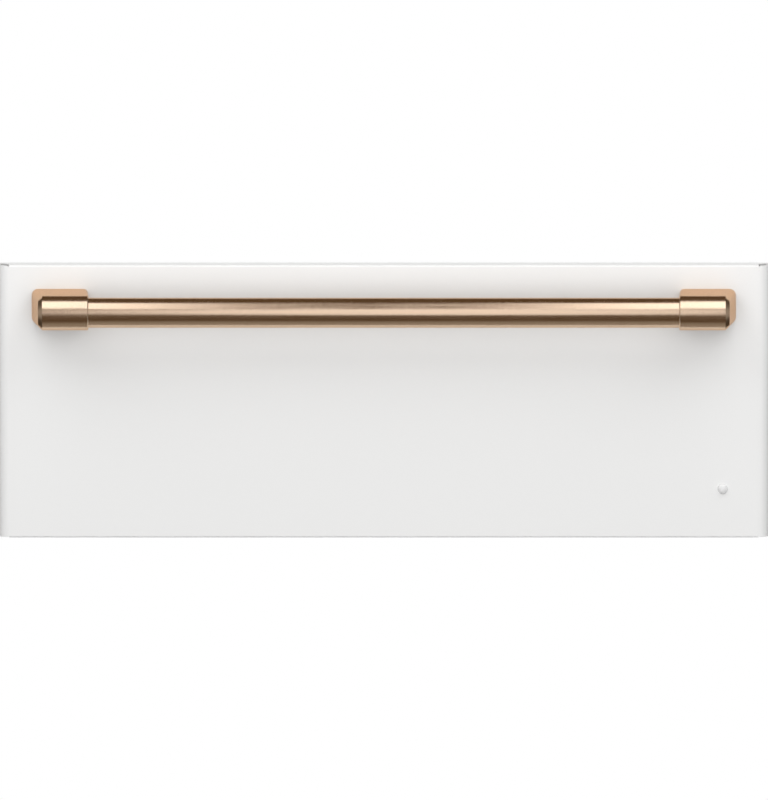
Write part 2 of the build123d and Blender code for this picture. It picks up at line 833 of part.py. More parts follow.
def ball_cage(side, web_u, row_w, row_u):
    """Thin channel with a row of ball pockets in each arm."""
    with BuildPart() as cage:
        web = web_u + cage_sheet / 2
        tip = row_u + cage_arm_past_ball
        section = [(tip, -row_w), (web, -row_w), (web, row_w), (tip, row_w)]
        with BuildSketch(across(cage_front_y + cage_length)):
            sheet_path(runner_points(side, section), cage_bend, cage_sheet)
        extrude(amount=cage_length)
        with BuildSketch(Plane.XY.offset(slide_z - row_w - cage_sheet)):
            with Locations((side * (wall_x - row_u), cage_front_y + cage_length / 2)):
                with GridLocations(0, ball_pitch, 1, balls_per_row):
                    RegularPolygon(ball_radius + ball_hole_clearance, 8, major_radius=False)
        extrude(amount=2 * (row_w + cage_sheet), mode=Mode.SUBTRACT)
    return cage


def ball_set(side, row_w, row_u):
    """The balls of one cage, each with few faces."""
    polar = [(ball_radius * sin(radians(a)), ball_radius * cos(radians(a))) for a in (0, 45, 90, 135, 180)]
    with BuildPart() as balls:
        for row in (-1, 1):
            for index in range(balls_per_row):
                y = cage_front_y + cage_length / 2 + (index - (balls_per_row - 1) / 2) * ball_pitch
                centre = Vector(side * (wall_x - row_u), y, slide_z + row * row_w)
                rings = [
                    centre + Vector(r * cos(radians(turn)), r * sin(radians(turn)), h)
                    for r, h in polar[1:-1]
                    for turn in range(0, 360, 45)
                ]
                poles = [centre + Vector(0, 0, ball_radius), centre - Vector(0, 0, ball_radius)]
                ConvexPolyhedron(rings + poles)
    return balls


outer_row_w = (outer_half - slide_sheet + middle_half) / 2
inner_row_w = (middle_half - slide_sheet + inner_half) / 2
outer_cage_u = slide_sheet + cage_web_gap
inner_cage_u = middle_web + slide_sheet + 2 * cage_web_gap
runner_pieces = {}
for side, word in ((-1, "left"), (1, "right")):
    runner_pieces[f"slide_outer_{word}"] = outer_member(side)
    runner_pieces[f"slide_middle_{word}"] = middle_member(side)
    runner_pieces[f"slide_inner_{word}"] = inner_member(side)
    runner_pieces[f"ball_cage_outer_{word}"] = ball_cage(side, outer_cage_u, outer_row_w, outer_ball_u)
    runner_pieces[f"ball_cage_inner_{word}"] = ball_cage(side, inner_cage_u, inner_row_w, inner_ball_u)
    runner_pieces[f"slide_balls_outer_{word}"] = ball_set(side, outer_row_w, outer_ball_u)
    runner_pieces[f"slide_balls_inner_{word}"] = ball_set(side, inner_row_w, inner_ball_u)

# Rubber bumpers on the stop plates behind the moving members.
with BuildPart() as slide_bumpers:
    for side in (-1, 1):
        bumper_reach = slide_width - 2 * slide_sheet
        with Locations(
            (
                side * (wall_x - slide_sheet - bumper_reach / 2),
                slide_rear_y + bumper_gap + bumper_length / 2,
                slide_z,
            )
        ):
            Box(bumper_reach, bumper_length, bumper_height)
    chamfer(slide_bumpers.edges().filter_by(Axis.X), bumper_chamfer)


def release_lever(side):
    """Flat lever inside the inner member, with a finger pad at its front end."""
    with BuildPart() as lever:
        face_x = side * (box_x + slide_sheet + lever_gap)
        with BuildSketch(Plane.YZ.offset(face_x)):
            with Locations((lever_front_y + lever_length / 2, slide_z)):
                SlotOverall(lever_length, lever_height)
            with Locations((lever_front_y + lever_length - lever_pivot_inset, slide_z)):
                Circle(lever_pivot_radius + pivot_clearance, mode=Mode.SUBTRACT)
            with Locations((lever_front_y + lever_length / 2 - lever_pivot_inset, slide_z)):
                SlotOverall(lever_length / 2, lever_height / 3, mode=Mode.SUBTRACT)
        extrude(amount=side * lever_thickness)
    return lever


release_lever_left = release_lever(-1)
release_lever_right = release_lever(1)

# ================= the drawer =================

# White front: a wrap round the two sides and a fold over the top and bottom, which stop short of the rounded sides.
with BuildPart() as front_skin:
    half_x = (panel_width - panel_sheet) / 2
    top_z = panel_top - panel_sheet / 2
    bottom_z = panel_bottom + panel_sheet / 2
    web_y = panel_face_y + panel_sheet / 2
    lip_y = backer_front_y - panel_sheet / 2
    with BuildSketch(Plane.XY.offset(panel_bottom + edge_bend)):
        sheet_path(
            [
                (panel_lip - half_x, lip_y),
                (-half_x, lip_y),
                (-half_x, web_y),
                (half_x, web_y),
                (half_x, lip_y),
                (half_x - panel_lip, lip_y),
            ],
            [lip_bend, side_bend - panel_sheet / 2, side_bend - panel_sheet / 2, lip_bend],
            panel_sheet,
        )
    extrude(amount=panel_height - 2 * edge_bend)
    with BuildSketch(Plane.YZ.offset(side_bend - panel_width / 2)):
        sheet_path(
            [
                (lip_y, bottom_z + panel_lip),
                (lip_y, bottom_z),
                (web_y, bottom_z),
                (web_y, top_z),
                (lip_y, top_z),
                (lip_y, top_z - panel_lip),
            ],
            [lip_bend, edge_bend - panel_sheet / 2, edge_bend - panel_sheet / 2, lip_bend],
            panel_sheet,
        )
    extrude(amount=panel_width - 2 * side_bend)
    # slots in the bottom fold, where the vented air leaves
    with BuildSketch(Plane.XY.offset(panel_bottom)):
        with Locations((0, (panel_face_y + backer_front_y) / 2)):
            with GridLocations(outlet_pitch, 0, outlet_count, 1):
                SlotOverall(outlet_length, outlet_width)
    extrude(amount=2 * panel_sheet, mode=Mode.SUBTRACT)
    with BuildSketch(across(face_rear_y)):
        with Locations(*handle_screws_xz):
            Circle(handle_screw_radius + screw_hole_clearance)
        with Locations((lens_x, lens_z)):
            Circle(lens_stem_radius + stem_clearance)
    extrude(amount=2 * panel_sheet, mode=Mode.SUBTRACT)
    with BuildSketch(across(backer_front_y)):
        with Locations(*panel_screws_xz):
            Circle(box_screw_radius)
    extrude(amount=2 * panel_sheet, mode=Mode.SUBTRACT)

# Inner sheet of the front.
with BuildPart() as front_backer:
    with BuildSketch(across(backer_rear_y)):
        with Locations((0, panel_mid_z)):
            Rectangle(panel_width - 2 * backer_inset, panel_height - 2 * backer_inset)
        with Locations((knob_x, knob_z)):
            Circle(knob_radius + knob_pocket_clearance, mode=Mode.SUBTRACT)
        with Locations((lens_x, lens_z)):
            Circle(lens_barb_radius + stem_clearance, mode=Mode.SUBTRACT)
        with Locations((0, vent_z)):
            with GridLocations(vent_pitch, 0, vent_count, 1):
                Rectangle(vent_slot_width, vent_slot_height, mode=Mode.SUBTRACT)
        with Locations(*panel_screws_xz, *tab_screws_xz):
            Circle(box_screw_radius + screw_hole_clearance, mode=Mode.SUBTRACT)
    extrude(amount=backer_sheet)

# Insulation inside the front, with room for the knob, the lens stem, the screw heads and the air duct.
with BuildPart() as front_insulation:
    pad_face_y = face_rear_y + pad_clearance
    pad_back_y = lip_y - panel_sheet / 2 - pad_clearance
    pad_half_x = panel_width / 2 - side_bend - panel_sheet
    pad_half_z = panel_height / 2 - panel_sheet - edge_bend
    with BuildSketch(across(pad_back_y)):
        with Locations((0, panel_mid_z)):
            Rectangle(2 * pad_half_x, 2 * pad_half_z)
        with Locations((lens_x, lens_z)):
            Circle(lens_barb_radius + stem_room, mode=Mode.SUBTRACT)
        with Locations(*handle_screws_xz):
            Circle(handle_head_radius + stem_room, mode=Mode.SUBTRACT)
    extrude(amount=pad_back_y - pad_face_y)
    with BuildSketch(across(pad_back_y)):
        with Locations((knob_x, knob_z)):
            Circle(knob_radius + knob_pocket_clearance)
    extrude(amount=pad_back_y - knob_front_y + knob_pocket_clearance, mode=Mode.SUBTRACT)
    with BuildSketch(across(pad_back_y)):
        duct_top = vent_z + vent_slot_height
        duct_bottom = panel_mid_z - pad_half_z
        with Locations((0, (duct_top + duct_bottom) / 2)):
            Rectangle(duct_width, duct_top - duct_bottom)
        with Locations(*panel_screws_xz, *tab_screws_xz):
            Circle(head_radius + screw_hole_clearance)
    extrude(amount=duct_depth, mode=Mode.SUBTRACT)

# Bar of the handle, a tube that ends inside the two sleeves.
with BuildPart() as handle_tube:
    bar_end_x = sleeve_inner_x + bar_engagement
    with BuildSketch(Plane(origin=(-bar_end_x, handle_y, handle_z), x_dir=(0, 1, 0), z_dir=(1, 0, 0))):
        Circle(bar_radius)
        Circle(bar_radius - bar_wall, mode=Mode.SUBTRACT)
    extrude(amount=2 * bar_end_x)


def handle_bracket(side):
    """Cast end of the handle: a sleeve round the bar, and a leg that widens to its foot on the face."""
    inner = sleeve_inner_x
    outer = sleeve_outer_x
    with BuildPart() as bracket:
        with BuildSketch(Plane.XY.offset(handle_z)):
            with BuildLine():
                Polyline(
                    (side * inner, handle_y),
                    (side * inner, handle_y - sleeve_radius + sleeve_lip),
                    (side * (inner + sleeve_lip), handle_y - sleeve_radius),
                    (side * (outer - sleeve_chamfer), handle_y - sleeve_radius),
                    (side * outer, handle_y - sleeve_radius + sleeve_chamfer),
                    (side * outer, handle_y),
                    close=True,
                )
            make_face()
        revolve(axis=Axis((0, handle_y, handle_z), (1, 0, 0)))
        with BuildSketch(across(panel_face_y)):
            with Locations((side * foot_mid_x, handle_z)):
                RectangleRounded(foot_length, 2 * sleeve_radius, foot_corner)
        with BuildSketch(across(handle_y)):
            with Locations((side * (inner + sleeve_length / 2), handle_z)):
                RectangleRounded(sleeve_length, 2 * sleeve_radius, foot_corner)
        loft()
        with BuildSketch(Plane(origin=(side * inner, handle_y, handle_z), x_dir=(0, 1, 0), z_dir=(side, 0, 0))):
            Circle(bar_radius + socket_clearance)
        extrude(amount=bar_engagement, mode=Mode.SUBTRACT)
        with BuildSketch(across(panel_face_y)):
            with Locations(*[place for place in handle_screws_xz if place[0] * side > 0]):
                Circle(handle_screw_radius)
        extrude(amount=handle_screw_reach + handle_screw_room, mode=Mode.SUBTRACT)
    return bracket


handle_bracket_left = handle_bracket(-1)
handle_bracket_right = handle_bracket(1)

# Four screws through the face into the brackets.
with BuildPart() as handle_screws:
    with BuildSketch(across(face_rear_y)):
        with Locations(*handle_screws_xz):
            Circle(handle_screw_radius)
    extrude(amount=panel_sheet + handle_screw_reach)
    with BuildSketch(across(face_rear_y)):
        with Locations(*handle_screws_xz):
            RegularPolygon(handle_head_radius, 6)
    extrude(amount=-handle_head_height)

# Indicator lens: a dome on the face, and a clear stem with a snap barb that carries the light.
with BuildPart() as indicator_lens:
    dome_radius = (lens_radius**2 + lens_height**2) / (2 * lens_height)
    dome_centre = panel_face_y - lens_height + dome_radius
    stem_end_y = backer_rear_y + lens_rear_gap
    with BuildSketch(Plane.XY.offset(lens_z)):
        with BuildLine():
            dome = ThreePointArc(
                (lens_x, panel_face_y - lens_height),
                (
                    lens_x + dome_radius * sin(radians(lens_dome_turn)),
                    dome_centre - dome_radius * cos(radians(lens_dome_turn)),
                ),
                (lens_x + lens_radius, panel_face_y),
            )
            Polyline(
                dome @ 1,
                (lens_x + lens_stem_radius, panel_face_y),
                (lens_x + lens_stem_radius, face_rear_y),
                (lens_x + lens_barb_radius, face_rear_y),
                (lens_x + lens_stem_radius, face_rear_y + 2 * panel_sheet),
                (lens_x + lens_stem_radius, stem_end_y),
                (lens_x, stem_end_y),
                dome @ 0,
            )
        make_face()
    revolve(axis=Axis((lens_x, 0, lens_z), (0, 1, 0)))

# Door gasket round the opening, on the backer.
with BuildPart() as drawer_gasket:
    with BuildSketch(across(flange_front_y - gasket_gap)):
        with Locations((0, opening_mid_z)):
            RectangleRounded(
                opening_width + 2 * (gasket_margin + gasket_width),
                opening_height + 2 * (gasket_margin + gasket_width),
                opening_corner + gasket_margin + gasket_width,
            )
            RectangleRounded(
                opening_width + 2 * gasket_margin,
                opening_height + 2 * gasket_margin,
                opening_corner + gasket_margin,
                mode=Mode.SUBTRACT,
            )
    extrude(amount=seal_gap - gasket_gap)
    chamfer(drawer_gasket.faces().sort_by(Axis.Y)[-1].edges(), gasket_chamfer)


def drawer_side(side):
    """Side sheet of the drawer box, flanged in at the top, the bottom and the front."""
    with BuildPart() as sheet:
        web = box_x - box_sheet / 2
        section = [
            (side * (web - box_flange), box_top - box_sheet / 2),
            (side * web, box_top - box_sheet / 2),
            (side * web, box_bottom + box_sheet / 2),
            (side * (web - box_flange), box_bottom + box_sheet / 2),
        ]
        with BuildSketch(across(slide_rear_y)):
            sheet_path(section, box_bend - box_sheet / 2, box_sheet)
        extrude(amount=slide_rear_y - backer_rear_y - 2 * box_sheet)
        with BuildSketch(Plane.XY.offset(front_tab_bottom)):
            tab_y = backer_rear_y + box_sheet / 2
            sheet_path(
                [(side * (web - front_tab), tab_y), (side * web, tab_y), (side * web, slide_front_y)],
                box_bend - box_sheet / 2,
                box_sheet,
            )
        extrude(amount=front_tab_top - front_tab_bottom)
        with BuildSketch(across(backer_rear_y + 2 * box_sheet)):
            with Locations(*[place for place in tab_screws_xz if place[0] * side > 0]):
                Circle(box_screw_radius)
        extrude(amount=4 * box_sheet, mode=Mode.SUBTRACT)
    return sheet


drawer_side_left = drawer_side(-1)
drawer_side_right = drawer_side(1)

# Back of the drawer box, flanged to the rear at its top and bottom.
with BuildPart() as drawer_back:
    back_y = slide_rear_y + box_sheet / 2
    with BuildSketch(Plane.YZ.offset(-box_x)):
        sheet_path(
            [
                (back_y + box_flange, box_bottom + box_sheet / 2),
                (back_y, box_bottom + box_sheet / 2),
                (back_y, box_top - box_sheet / 2),
                (back_y + box_flange, box_top - box_sheet / 2),
            ],
            box_bend - box_sheet / 2,
            box_sheet,
        )
    extrude(amount=2 * box_x)

# Food pan: drawn from one sheet, with a rim that rests on the sides.
with BuildPart() as drawer_pan:
    with BuildSketch(Plane.XY.offset(pan_floor)):
        with Locations((0, pan_mid_y)):
            RectangleRounded(pan_width + 2 * pan_sheet, pan_length + 2 * pan_sheet, pan_corner + pan_sheet)
    extrude(amount=pan_rim_top - pan_floor)
    fillet(drawer_pan.faces().sort_by(Axis.Z)[0].edges(), pan_floor_radius + pan_sheet)
    offset(amount=-pan_sheet, openings=drawer_pan.faces().sort_by(Axis.Z)[-1])
    with BuildSketch(Plane.XY.offset(pan_rim_under)):
        rim_length = slide_rear_y - rim_front_y
        with Locations((0, rim_front_y + rim_length / 2)):
            RectangleRounded(rim_width, rim_length, rim_corner)
        with Locations((0, pan_mid_y)):
            RectangleRounded(pan_width, pan_length, pan_corner, mode=Mode.SUBTRACT)
    extrude(amount=pan_sheet)

# Ten hex-head screws: six hold the backer to the skin's lips, four hold the box to the backer.
with BuildPart() as drawer_screws:
    with BuildSketch(across(backer_rear_y)):
        with Locations(*panel_screws_xz):
            RegularPolygon(head_radius, 6)
    extrude(amount=-head_height)
    with BuildSketch(across(backer_rear_y)):
        with Locations(*panel_screws_xz):
            RegularPolygon(box_screw_radius, 8)
    extrude(amount=backer_sheet + 3 * panel_sheet)
    with BuildSketch(across(backer_rear_y + box_sheet)):
        with Locations(*tab_screws_xz):
            RegularPolygon(head_radius, 6)
    extrude(amount=-head_height)
    with BuildSketch(across(backer_rear_y + box_sheet)):
        with Locations(*tab_screws_xz):
            RegularPolygon(box_screw_radius, 8)
    extrude(amount=backer_sheet + 3 * box_sheet)

# Two guides that hold the vent slide against the backer.
with BuildPart() as vent_guides:
    guide_length = vent_slide_length + 2 * (vent_travel + vent_guide_end)
    slide_rear = backer_rear_y + vent_slide_gap + vent_slide_sheet
    for row in (-1, 1):
        edge_z = vent_z + row * slide_edge
        with BuildSketch(Plane.YZ.offset(-guide_length / 2)):
            with BuildLine():
                Polyline(
                    (backer_rear_y, edge_z),
                    (slide_rear + vent_guide_gap, edge_z),
                    (slide_rear + vent_guide_gap, edge_z - row * vent_guide_lip),
                    (slide_rear + vent_guide_gap + vent_guide_sheet, edge_z - row * vent_guide_lip),
                    (slide_rear + vent_guide_gap + vent_guide_sheet, edge_z + row * vent_guide_lip),
                    (backer_rear_y, edge_z + row * vent_guide_lip),
                    close=True,
                )
            make_face()
        extrude(amount=guide_length)

# Vent slide: a slotted strip with a finger tab.
with BuildPart() as vent_slide:
    with BuildSketch(across(slide_rear)):
        with Locations((0, vent_z)):
            Rectangle(vent_slide_length, vent_slide_height)
            with GridLocations(vent_pitch, 0, vent_count, 1):
                Rectangle(vent_slot_width, vent_slot_height, mode=Mode.SUBTRACT)
    extrude(amount=vent_slide_sheet)
    with Locations((0, slide_rear + vent_tab_reach / 2, vent_z)):
        Box(vent_tab_width, vent_tab_reach, vent_tab_height)

# Warming rack: a welded wire half rack that stands on the pan floor.
with BuildPart() as warming_rack:
    rack_floor = pan_floor + pan_sheet + rack_foot_gap
    frame_z = rack_floor + rack_height - rack_frame_radius - 2 * rack_wire_radius + rack_weld
    rack_mid_x = (rack_left_x + rack_right_x) / 2
    rack_mid_y = (rack_front_y + rack_rear_y) / 2
    frame_x = (rack_right_x - rack_left_x) / 2 - rack_frame_radius
    frame_y = (rack_rear_y - rack_front_y) / 2 - rack_frame_radius
    with BuildLine(Plane((rack_mid_x, rack_mid_y, frame_z))):
        FilletPolyline(
            (0, -frame_y),
            (frame_x, -frame_y),
            (frame_x, frame_y),
            (0, frame_y),
            radius=rack_corner,
        )
    with BuildSketch(Plane(origin=(rack_mid_x, rack_mid_y - frame_y, frame_z), z_dir=(1, 0, 0))):
        Circle(rack_frame_radius)
    sweep()
    mirror(about=Plane.YZ.offset(rack_mid_x))
    # wires from front to back on top of the frame
    wire_z = frame_z + rack_frame_radius + rack_wire_radius - rack_weld
    wire_pitch = 2 * frame_x / (rack_wire_count + 1)
    with BuildSketch(across(rack_mid_y + frame_y)):
        with Locations((rack_mid_x, wire_z)):
            with GridLocations(wire_pitch, 0, rack_wire_count, 1):
                Circle(rack_wire_radius)
    extrude(amount=2 * frame_y)
    # legs: two bent rods across, each with two uprights
    for end in (-1, 1):
        leg_y = rack_mid_y + end * (frame_y - rack_leg_inset)
        leg_bottom = rack_floor + rack_frame_radius
        with BuildLine(Plane(origin=(rack_mid_x, leg_y, 0), x_dir=(1, 0, 0), z_dir=(0, -1, 0))):
            FilletPolyline(
                (-frame_x, frame_z),
                (-frame_x, leg_bottom),
                (frame_x, leg_bottom),
                (frame_x, frame_z),
                radius=rack_corner / 2,
            )
        with BuildSketch(Plane(origin=(rack_mid_x - frame_x, leg_y, frame_z), z_dir=(0, 0, -1))):
            Circle(rack_frame_radius)
        sweep()

# ================= write the pieces =================
pieces = {
    "front_flange": front_flange,
    "front_bulkhead": front_bulkhead,
    "case_wrap": case_wrap,
    "case_base": case_base,
    "case_rear": case_rear,
    "case_screws": case_screws,
    "junction_cover": junction_cover,
    "terminal_block": terminal_block,
    "wiring_loom": wiring_loom,
    "cavity_liner": cavity_liner,
    "cavity_rear": cavity_rear,
    "insulation_top": insulation_top,
    "insulation_left": insulation_left,
    "insulation_right": insulation_right,
    "insulation_base": insulation_base,
    "insulation_rear": insulation_rear,
    "heating_element": heating_element,
    "element_bushes": element_bushes,
    "element_clips": element_clips,
    "heat_reflector": heat_reflector,
    "thermal_limiter": thermal_limiter,
    "control_switch": control_switch,
    "switch_shaft": switch_shaft,
    "control_knob": control_knob,
    "dial_plate": dial_plate,
    "indicator_lamp": indicator_lamp,
    "slide_bumpers": slide_bumpers,
    "front_skin": front_skin,
    "front_backer": front_backer,
    "front_insulation": front_insulation,
    "handle_tube": handle_tube,
    "handle_bracket_left": handle_bracket_left,
    "handle_bracket_right": handle_bracket_right,
    "handle_screws": handle_screws,
    "indicator_lens": indicator_lens,
    "drawer_gasket": drawer_gasket,
    "drawer_side_left": drawer_side_left,
    "drawer_side_right": drawer_side_right,
    "drawer_back": drawer_back,
    "drawer_pan": drawer_pan,
    "drawer_screws": drawer_screws,
    "vent_guides": vent_guides,
    "vent_slide": vent_slide,
    "warming_rack": warming_rack,
    "release_lever_left": release_lever_left,
    "release_lever_right": release_lever_right,
    **runner_pieces,
}
os.makedirs("parts", exist_ok=True)
for name, piece in pieces.items():
    piece.part.label = name
    export_step(piece.part, f"parts/{name}.step")
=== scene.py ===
from math import cos, pi, radians, sin

import bmesh
import bpy
import numpy as np
from mathutils import Matrix, Vector


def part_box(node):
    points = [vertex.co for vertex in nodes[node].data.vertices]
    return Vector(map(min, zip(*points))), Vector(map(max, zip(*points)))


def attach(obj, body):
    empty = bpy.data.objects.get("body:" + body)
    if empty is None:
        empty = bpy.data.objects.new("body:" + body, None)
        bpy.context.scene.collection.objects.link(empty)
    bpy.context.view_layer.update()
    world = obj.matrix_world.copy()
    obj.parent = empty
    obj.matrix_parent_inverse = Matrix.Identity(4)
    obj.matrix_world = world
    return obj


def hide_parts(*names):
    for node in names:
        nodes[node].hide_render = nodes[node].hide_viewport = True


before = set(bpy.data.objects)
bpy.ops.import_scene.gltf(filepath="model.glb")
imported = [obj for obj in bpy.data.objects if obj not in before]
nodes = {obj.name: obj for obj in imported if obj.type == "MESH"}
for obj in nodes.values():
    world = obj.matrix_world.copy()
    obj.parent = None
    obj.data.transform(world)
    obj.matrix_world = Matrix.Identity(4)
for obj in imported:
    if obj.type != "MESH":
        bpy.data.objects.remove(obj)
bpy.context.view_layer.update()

# ------------------------------------------------------------------------------------------
# Outer case, its base, its rear with the cooling slots, and the junction cover.
# Hot-dip galvanised sheet, folded and screwed together, with faint crystals of zinc.


def new_group(name, inputs, outputs):
    """An empty shader node group with named sockets; each input is (name, kind, start value)."""
    group = bpy.data.node_groups.new(name, "ShaderNodeTree")
    for label, kind, value in inputs:
        socket = group.interface.new_socket(
            label, in_out="INPUT", socket_type="NodeSocket" + kind
        )
        socket.default_value = value
    for label, kind in outputs:
        group.interface.new_socket(label, in_out="OUTPUT", socket_type="NodeSocket" + kind)
    return group, group.nodes.new("NodeGroupInput"), group.nodes.new("NodeGroupOutput")


def new_node(tree, kind, values=(), **settings):
    """A shader node with its settings, and fixed values on its sockets as (socket, value)."""
    node = tree.nodes.new("ShaderNode" + kind)
    for label, value in settings.items():
        setattr(node, label, value)
    for socket, value in values:
        node.inputs[socket].default_value = value
    return node


def join(tree, *links):
    """Makes each link (node, output, to node, input), with the sockets by name or number."""
    for source, out, target, into in links:
        tree.links.new(source.outputs[out], target.inputs[into])


def two_colours(group, given, share, made):
    """The group's Colour: its Dark turned into its Light by the share node's Result."""
    blend = new_node(group, "Mix", data_type="RGBA")
    join(
        group,
        (share, "Result", blend, 0),
        (given, "Dark", blend, 6),
        (given, "Light", blend, 7),
        (blend, 2, made, "Colour"),
    )


def grain_group():
    """Streaks or mottling: noise on the object's own place, stretched by Stretch, between two
    colours. Height is the noise itself, and Rough a roughness that follows it."""
    group, given, made = new_group(
        "grain",
        [
            ("Dark", "Color", (0.5, 0.5, 0.5, 1)),
            ("Light", "Color", (0.6, 0.6, 0.6, 1)),
            ("Stretch", "Vector", (1, 1, 1)),
            ("Scale", "Float", 100),
            ("Detail", "Float", 3),
            ("Rough from", "Float", 0.3),
            ("Rough to", "Float", 0.4),
        ],
        [("Colour", "Color"), ("Height", "Float"), ("Rough", "Float")],
    )
    place = new_node(group, "TexCoord")
    pull = new_node(group, "VectorMath", operation="MULTIPLY")
    noise = new_node(group, "TexNoise")
    spread = new_node(group, "MapRange", [("From Min", 0.35), ("From Max", 0.65)])
    rough = new_node(group, "MapRange")
    join(
        group,
        (place, "Object", pull, 0),
        (given, "Stretch", pull, 1),
        (pull, "Vector", noise, "Vector"),
        (given, "Scale", noise, "Scale"),
        (given, "Detail", noise, "Detail"),
        (noise, "Fac", spread, "Value"),
        (spread, "Result", rough, "Value"),
        (given, "Rough from", rough, "To Min"),
        (given, "Rough to", rough, "To Max"),
        (rough, "Result", made, "Rough"),
        (spread, "Result", made, "Height"),
    )
    two_colours(group, given, spread, made)
    return group


def spangle_group():
    """Zinc crystals: Voronoi cells on slightly bent places, each a little lighter or darker
    than Middle. Value is the cell's own number from 0 to 1."""
    group, given, made = new_group(
        "spangle",
        [
            ("Middle", "Color", (0.6, 0.6, 0.6, 1)),
            ("Scale", "Float", 90),
            ("Contrast", "Float", 0.12),
        ],
        [("Colour", "Color"), ("Value", "Float")],
    )
    place = new_node(group, "TexCoord")
    bend = new_node(group, "TexNoise", [("Scale", 60)])
    bent = new_node(group, "Mix", [(0, 0.006)], data_type="VECTOR")
    cells = new_node(group, "TexVoronoi")
    number = new_node(group, "SeparateColor")
    above = new_node(group, "Math", [(1, 0.5)], operation="SUBTRACT")
    factor = new_node(group, "Math", [(2, 1)], operation="MULTIPLY_ADD")
    tone = new_node(group, "VectorMath", operation="SCALE")
    join(
        group,
        (place, "Object", bend, "Vector"),
        (place, "Object", bent, 4),
        (bend, "Color", bent, 5),
        (bent, 1, cells, "Vector"),
        (given, "Scale", cells, "Scale"),
        (cells, "Color", number, "Color"),
        (number, "Red", above, 0),
        (above, "Value", factor, 0),
        (given, "Contrast", factor, 1),
        (given, "Middle", tone, 0),
        (factor, "Value", tone, "Scale"),
        (tone, "Vector", made, "Colour"),
        (number, "Red", made, "Value"),
    )
    return group


def set_sockets(node, values):
    """Fixed values on a node's sockets; a space in a socket's name is written as _."""
    for label, value in values.items():
        node.inputs[label.replace("_", " ")].default_value = value


def new_material(name, **fixed):
    """A material with one Principled shader and the shader's fixed values."""
    material = bpy.data.materials.new(name)
    material.use_nodes = True
    shader = material.node_tree.nodes["Principled BSDF"]
    set_sockets(shader, fixed)
    return material, shader


def place_group(material, group, **values):
    """The node group in a material, with its values there."""
    node = new_node(material.node_tree, "Group", node_tree=group)
    set_sockets(node, values)
    return node


def add_bump(material, shader, height, output, depth):
    """Bumps the shader's normal by a height, depth metres from lowest to highest."""
    bump = new_node(material.node_tree, "Bump", [("Distance", depth)])
    join(material.node_tree, (height, output, bump, "Height"), (bump, "Normal", shader, "Normal"))


def even_shading(piece, keep_sharp=False):
    """Shading in which the larger faces lead at an edge."""
    even = piece.modifiers.new("even", "WEIGHTED_NORMAL")
    even.mode = "FACE_AREA"
    even.weight = 80
    even.keep_sharp = keep_sharp


def clothe(names, material, crease=30):
    """Gives CAD nodes their material, and smooth shading between edges sharper than crease
    degrees."""
    for name in names:
        piece = nodes[name]
        piece.data.materials.clear()
        piece.data.materials.append(material)
        piece.data.shade_smooth()
        weld = piece.modifiers.new("weld", "WELD")
        weld.merge_threshold = 1e-5
        split = piece.modifiers.new("crease", "EDGE_SPLIT")
        split.split_angle = radians(crease)
        even_shading(piece)


grain = grain_group()
spangle = spangle_group()
galvanised, galvanised_shader = new_material("galvanised_sheet", Metallic=0.55)
crystals = place_group(
    galvanised, spangle, Middle=(0.66, 0.68, 0.70, 1), Scale=120, Contrast=0.22
)
dulling = place_group(galvanised, grain, Scale=150, Rough_from=0.38, Rough_to=0.46)
join(
    galvanised.node_tree,
    (crystals, "Colour", galvanised_shader, "Base Color"),
    (dulling, "Rough", galvanised_shader, "Roughness"),
)
add_bump(galvanised, galvanised_shader, crystals, "Value", 1e-5)
clothe(["case_wrap", "case_base", "case_rear", "junction_cover"], galvanised)

# ------------------------------------------------------------------------------------------
# Lining of the cavity and its rear wall, and the flange and bulkhead round its mouth.
# Bright annealed stainless sheet, rolled lengthwise; the flange and the bulkhead, and with
# them the back of the front and the vent's slide, are brushed across.


def finish(
    name, dark, light, scale, rough, stretch=(1, 1, 1), detail=3, depth=0, **fixed
):
    """A material whose grain goes from a dark to a light colour. Rough is its roughness at
    both, or one number; depth is the height of its bumps in metres; fixed is the shader's."""
    material, shader = new_material(name, **fixed)
    marks = place_group(
        material,
        grain,
        Dark=(*dark, 1),
        Light=(*light, 1),
        Stretch=stretch,
        Scale=scale,
        Detail=detail,
    )
    join(material.node_tree, (marks, "Colour", shader, "Base Color"))
    if isinstance(rough, tuple):
        set_sockets(marks, {"Rough from": rough[0], "Rough to": rough[1]})
        join(material.node_tree, (marks, "Rough", shader, "Roughness"))
    else:
        set_sockets(shader, {"Roughness": rough})
    if depth:
        add_bump(material, shader, marks, "Height", depth)
    return material


lining = finish(
    "bright_stainless",
    dark=(0.50, 0.50, 0.50),
    light=(0.60, 0.60, 0.60),
    scale=900,
    stretch=(1, 0.02, 1),
    rough=(0.22, 0.34),
    depth=4e-6,
    Metallic=1,
)
clothe(["cavity_liner", "cavity_rear"], lining)

flange_steel = finish(
    "brushed_stainless",
    dark=(0.52, 0.52, 0.51),
    light=(0.64, 0.64, 0.63),
    scale=1100,
    stretch=(0.02, 1, 1),
    rough=(0.24, 0.36),
    depth=5e-6,
    Metallic=0.75,
)
clothe(
    ["front_flange", "front_bulkhead", "front_backer", "vent_guides", "vent_slide"],
    flange_steel,
)

# ------------------------------------------------------------------------------------------
# Insulation round the cavity and inside the front.
# Matted glass wool in cut pads, pale straw-coloured, held by the sheets on both sides.


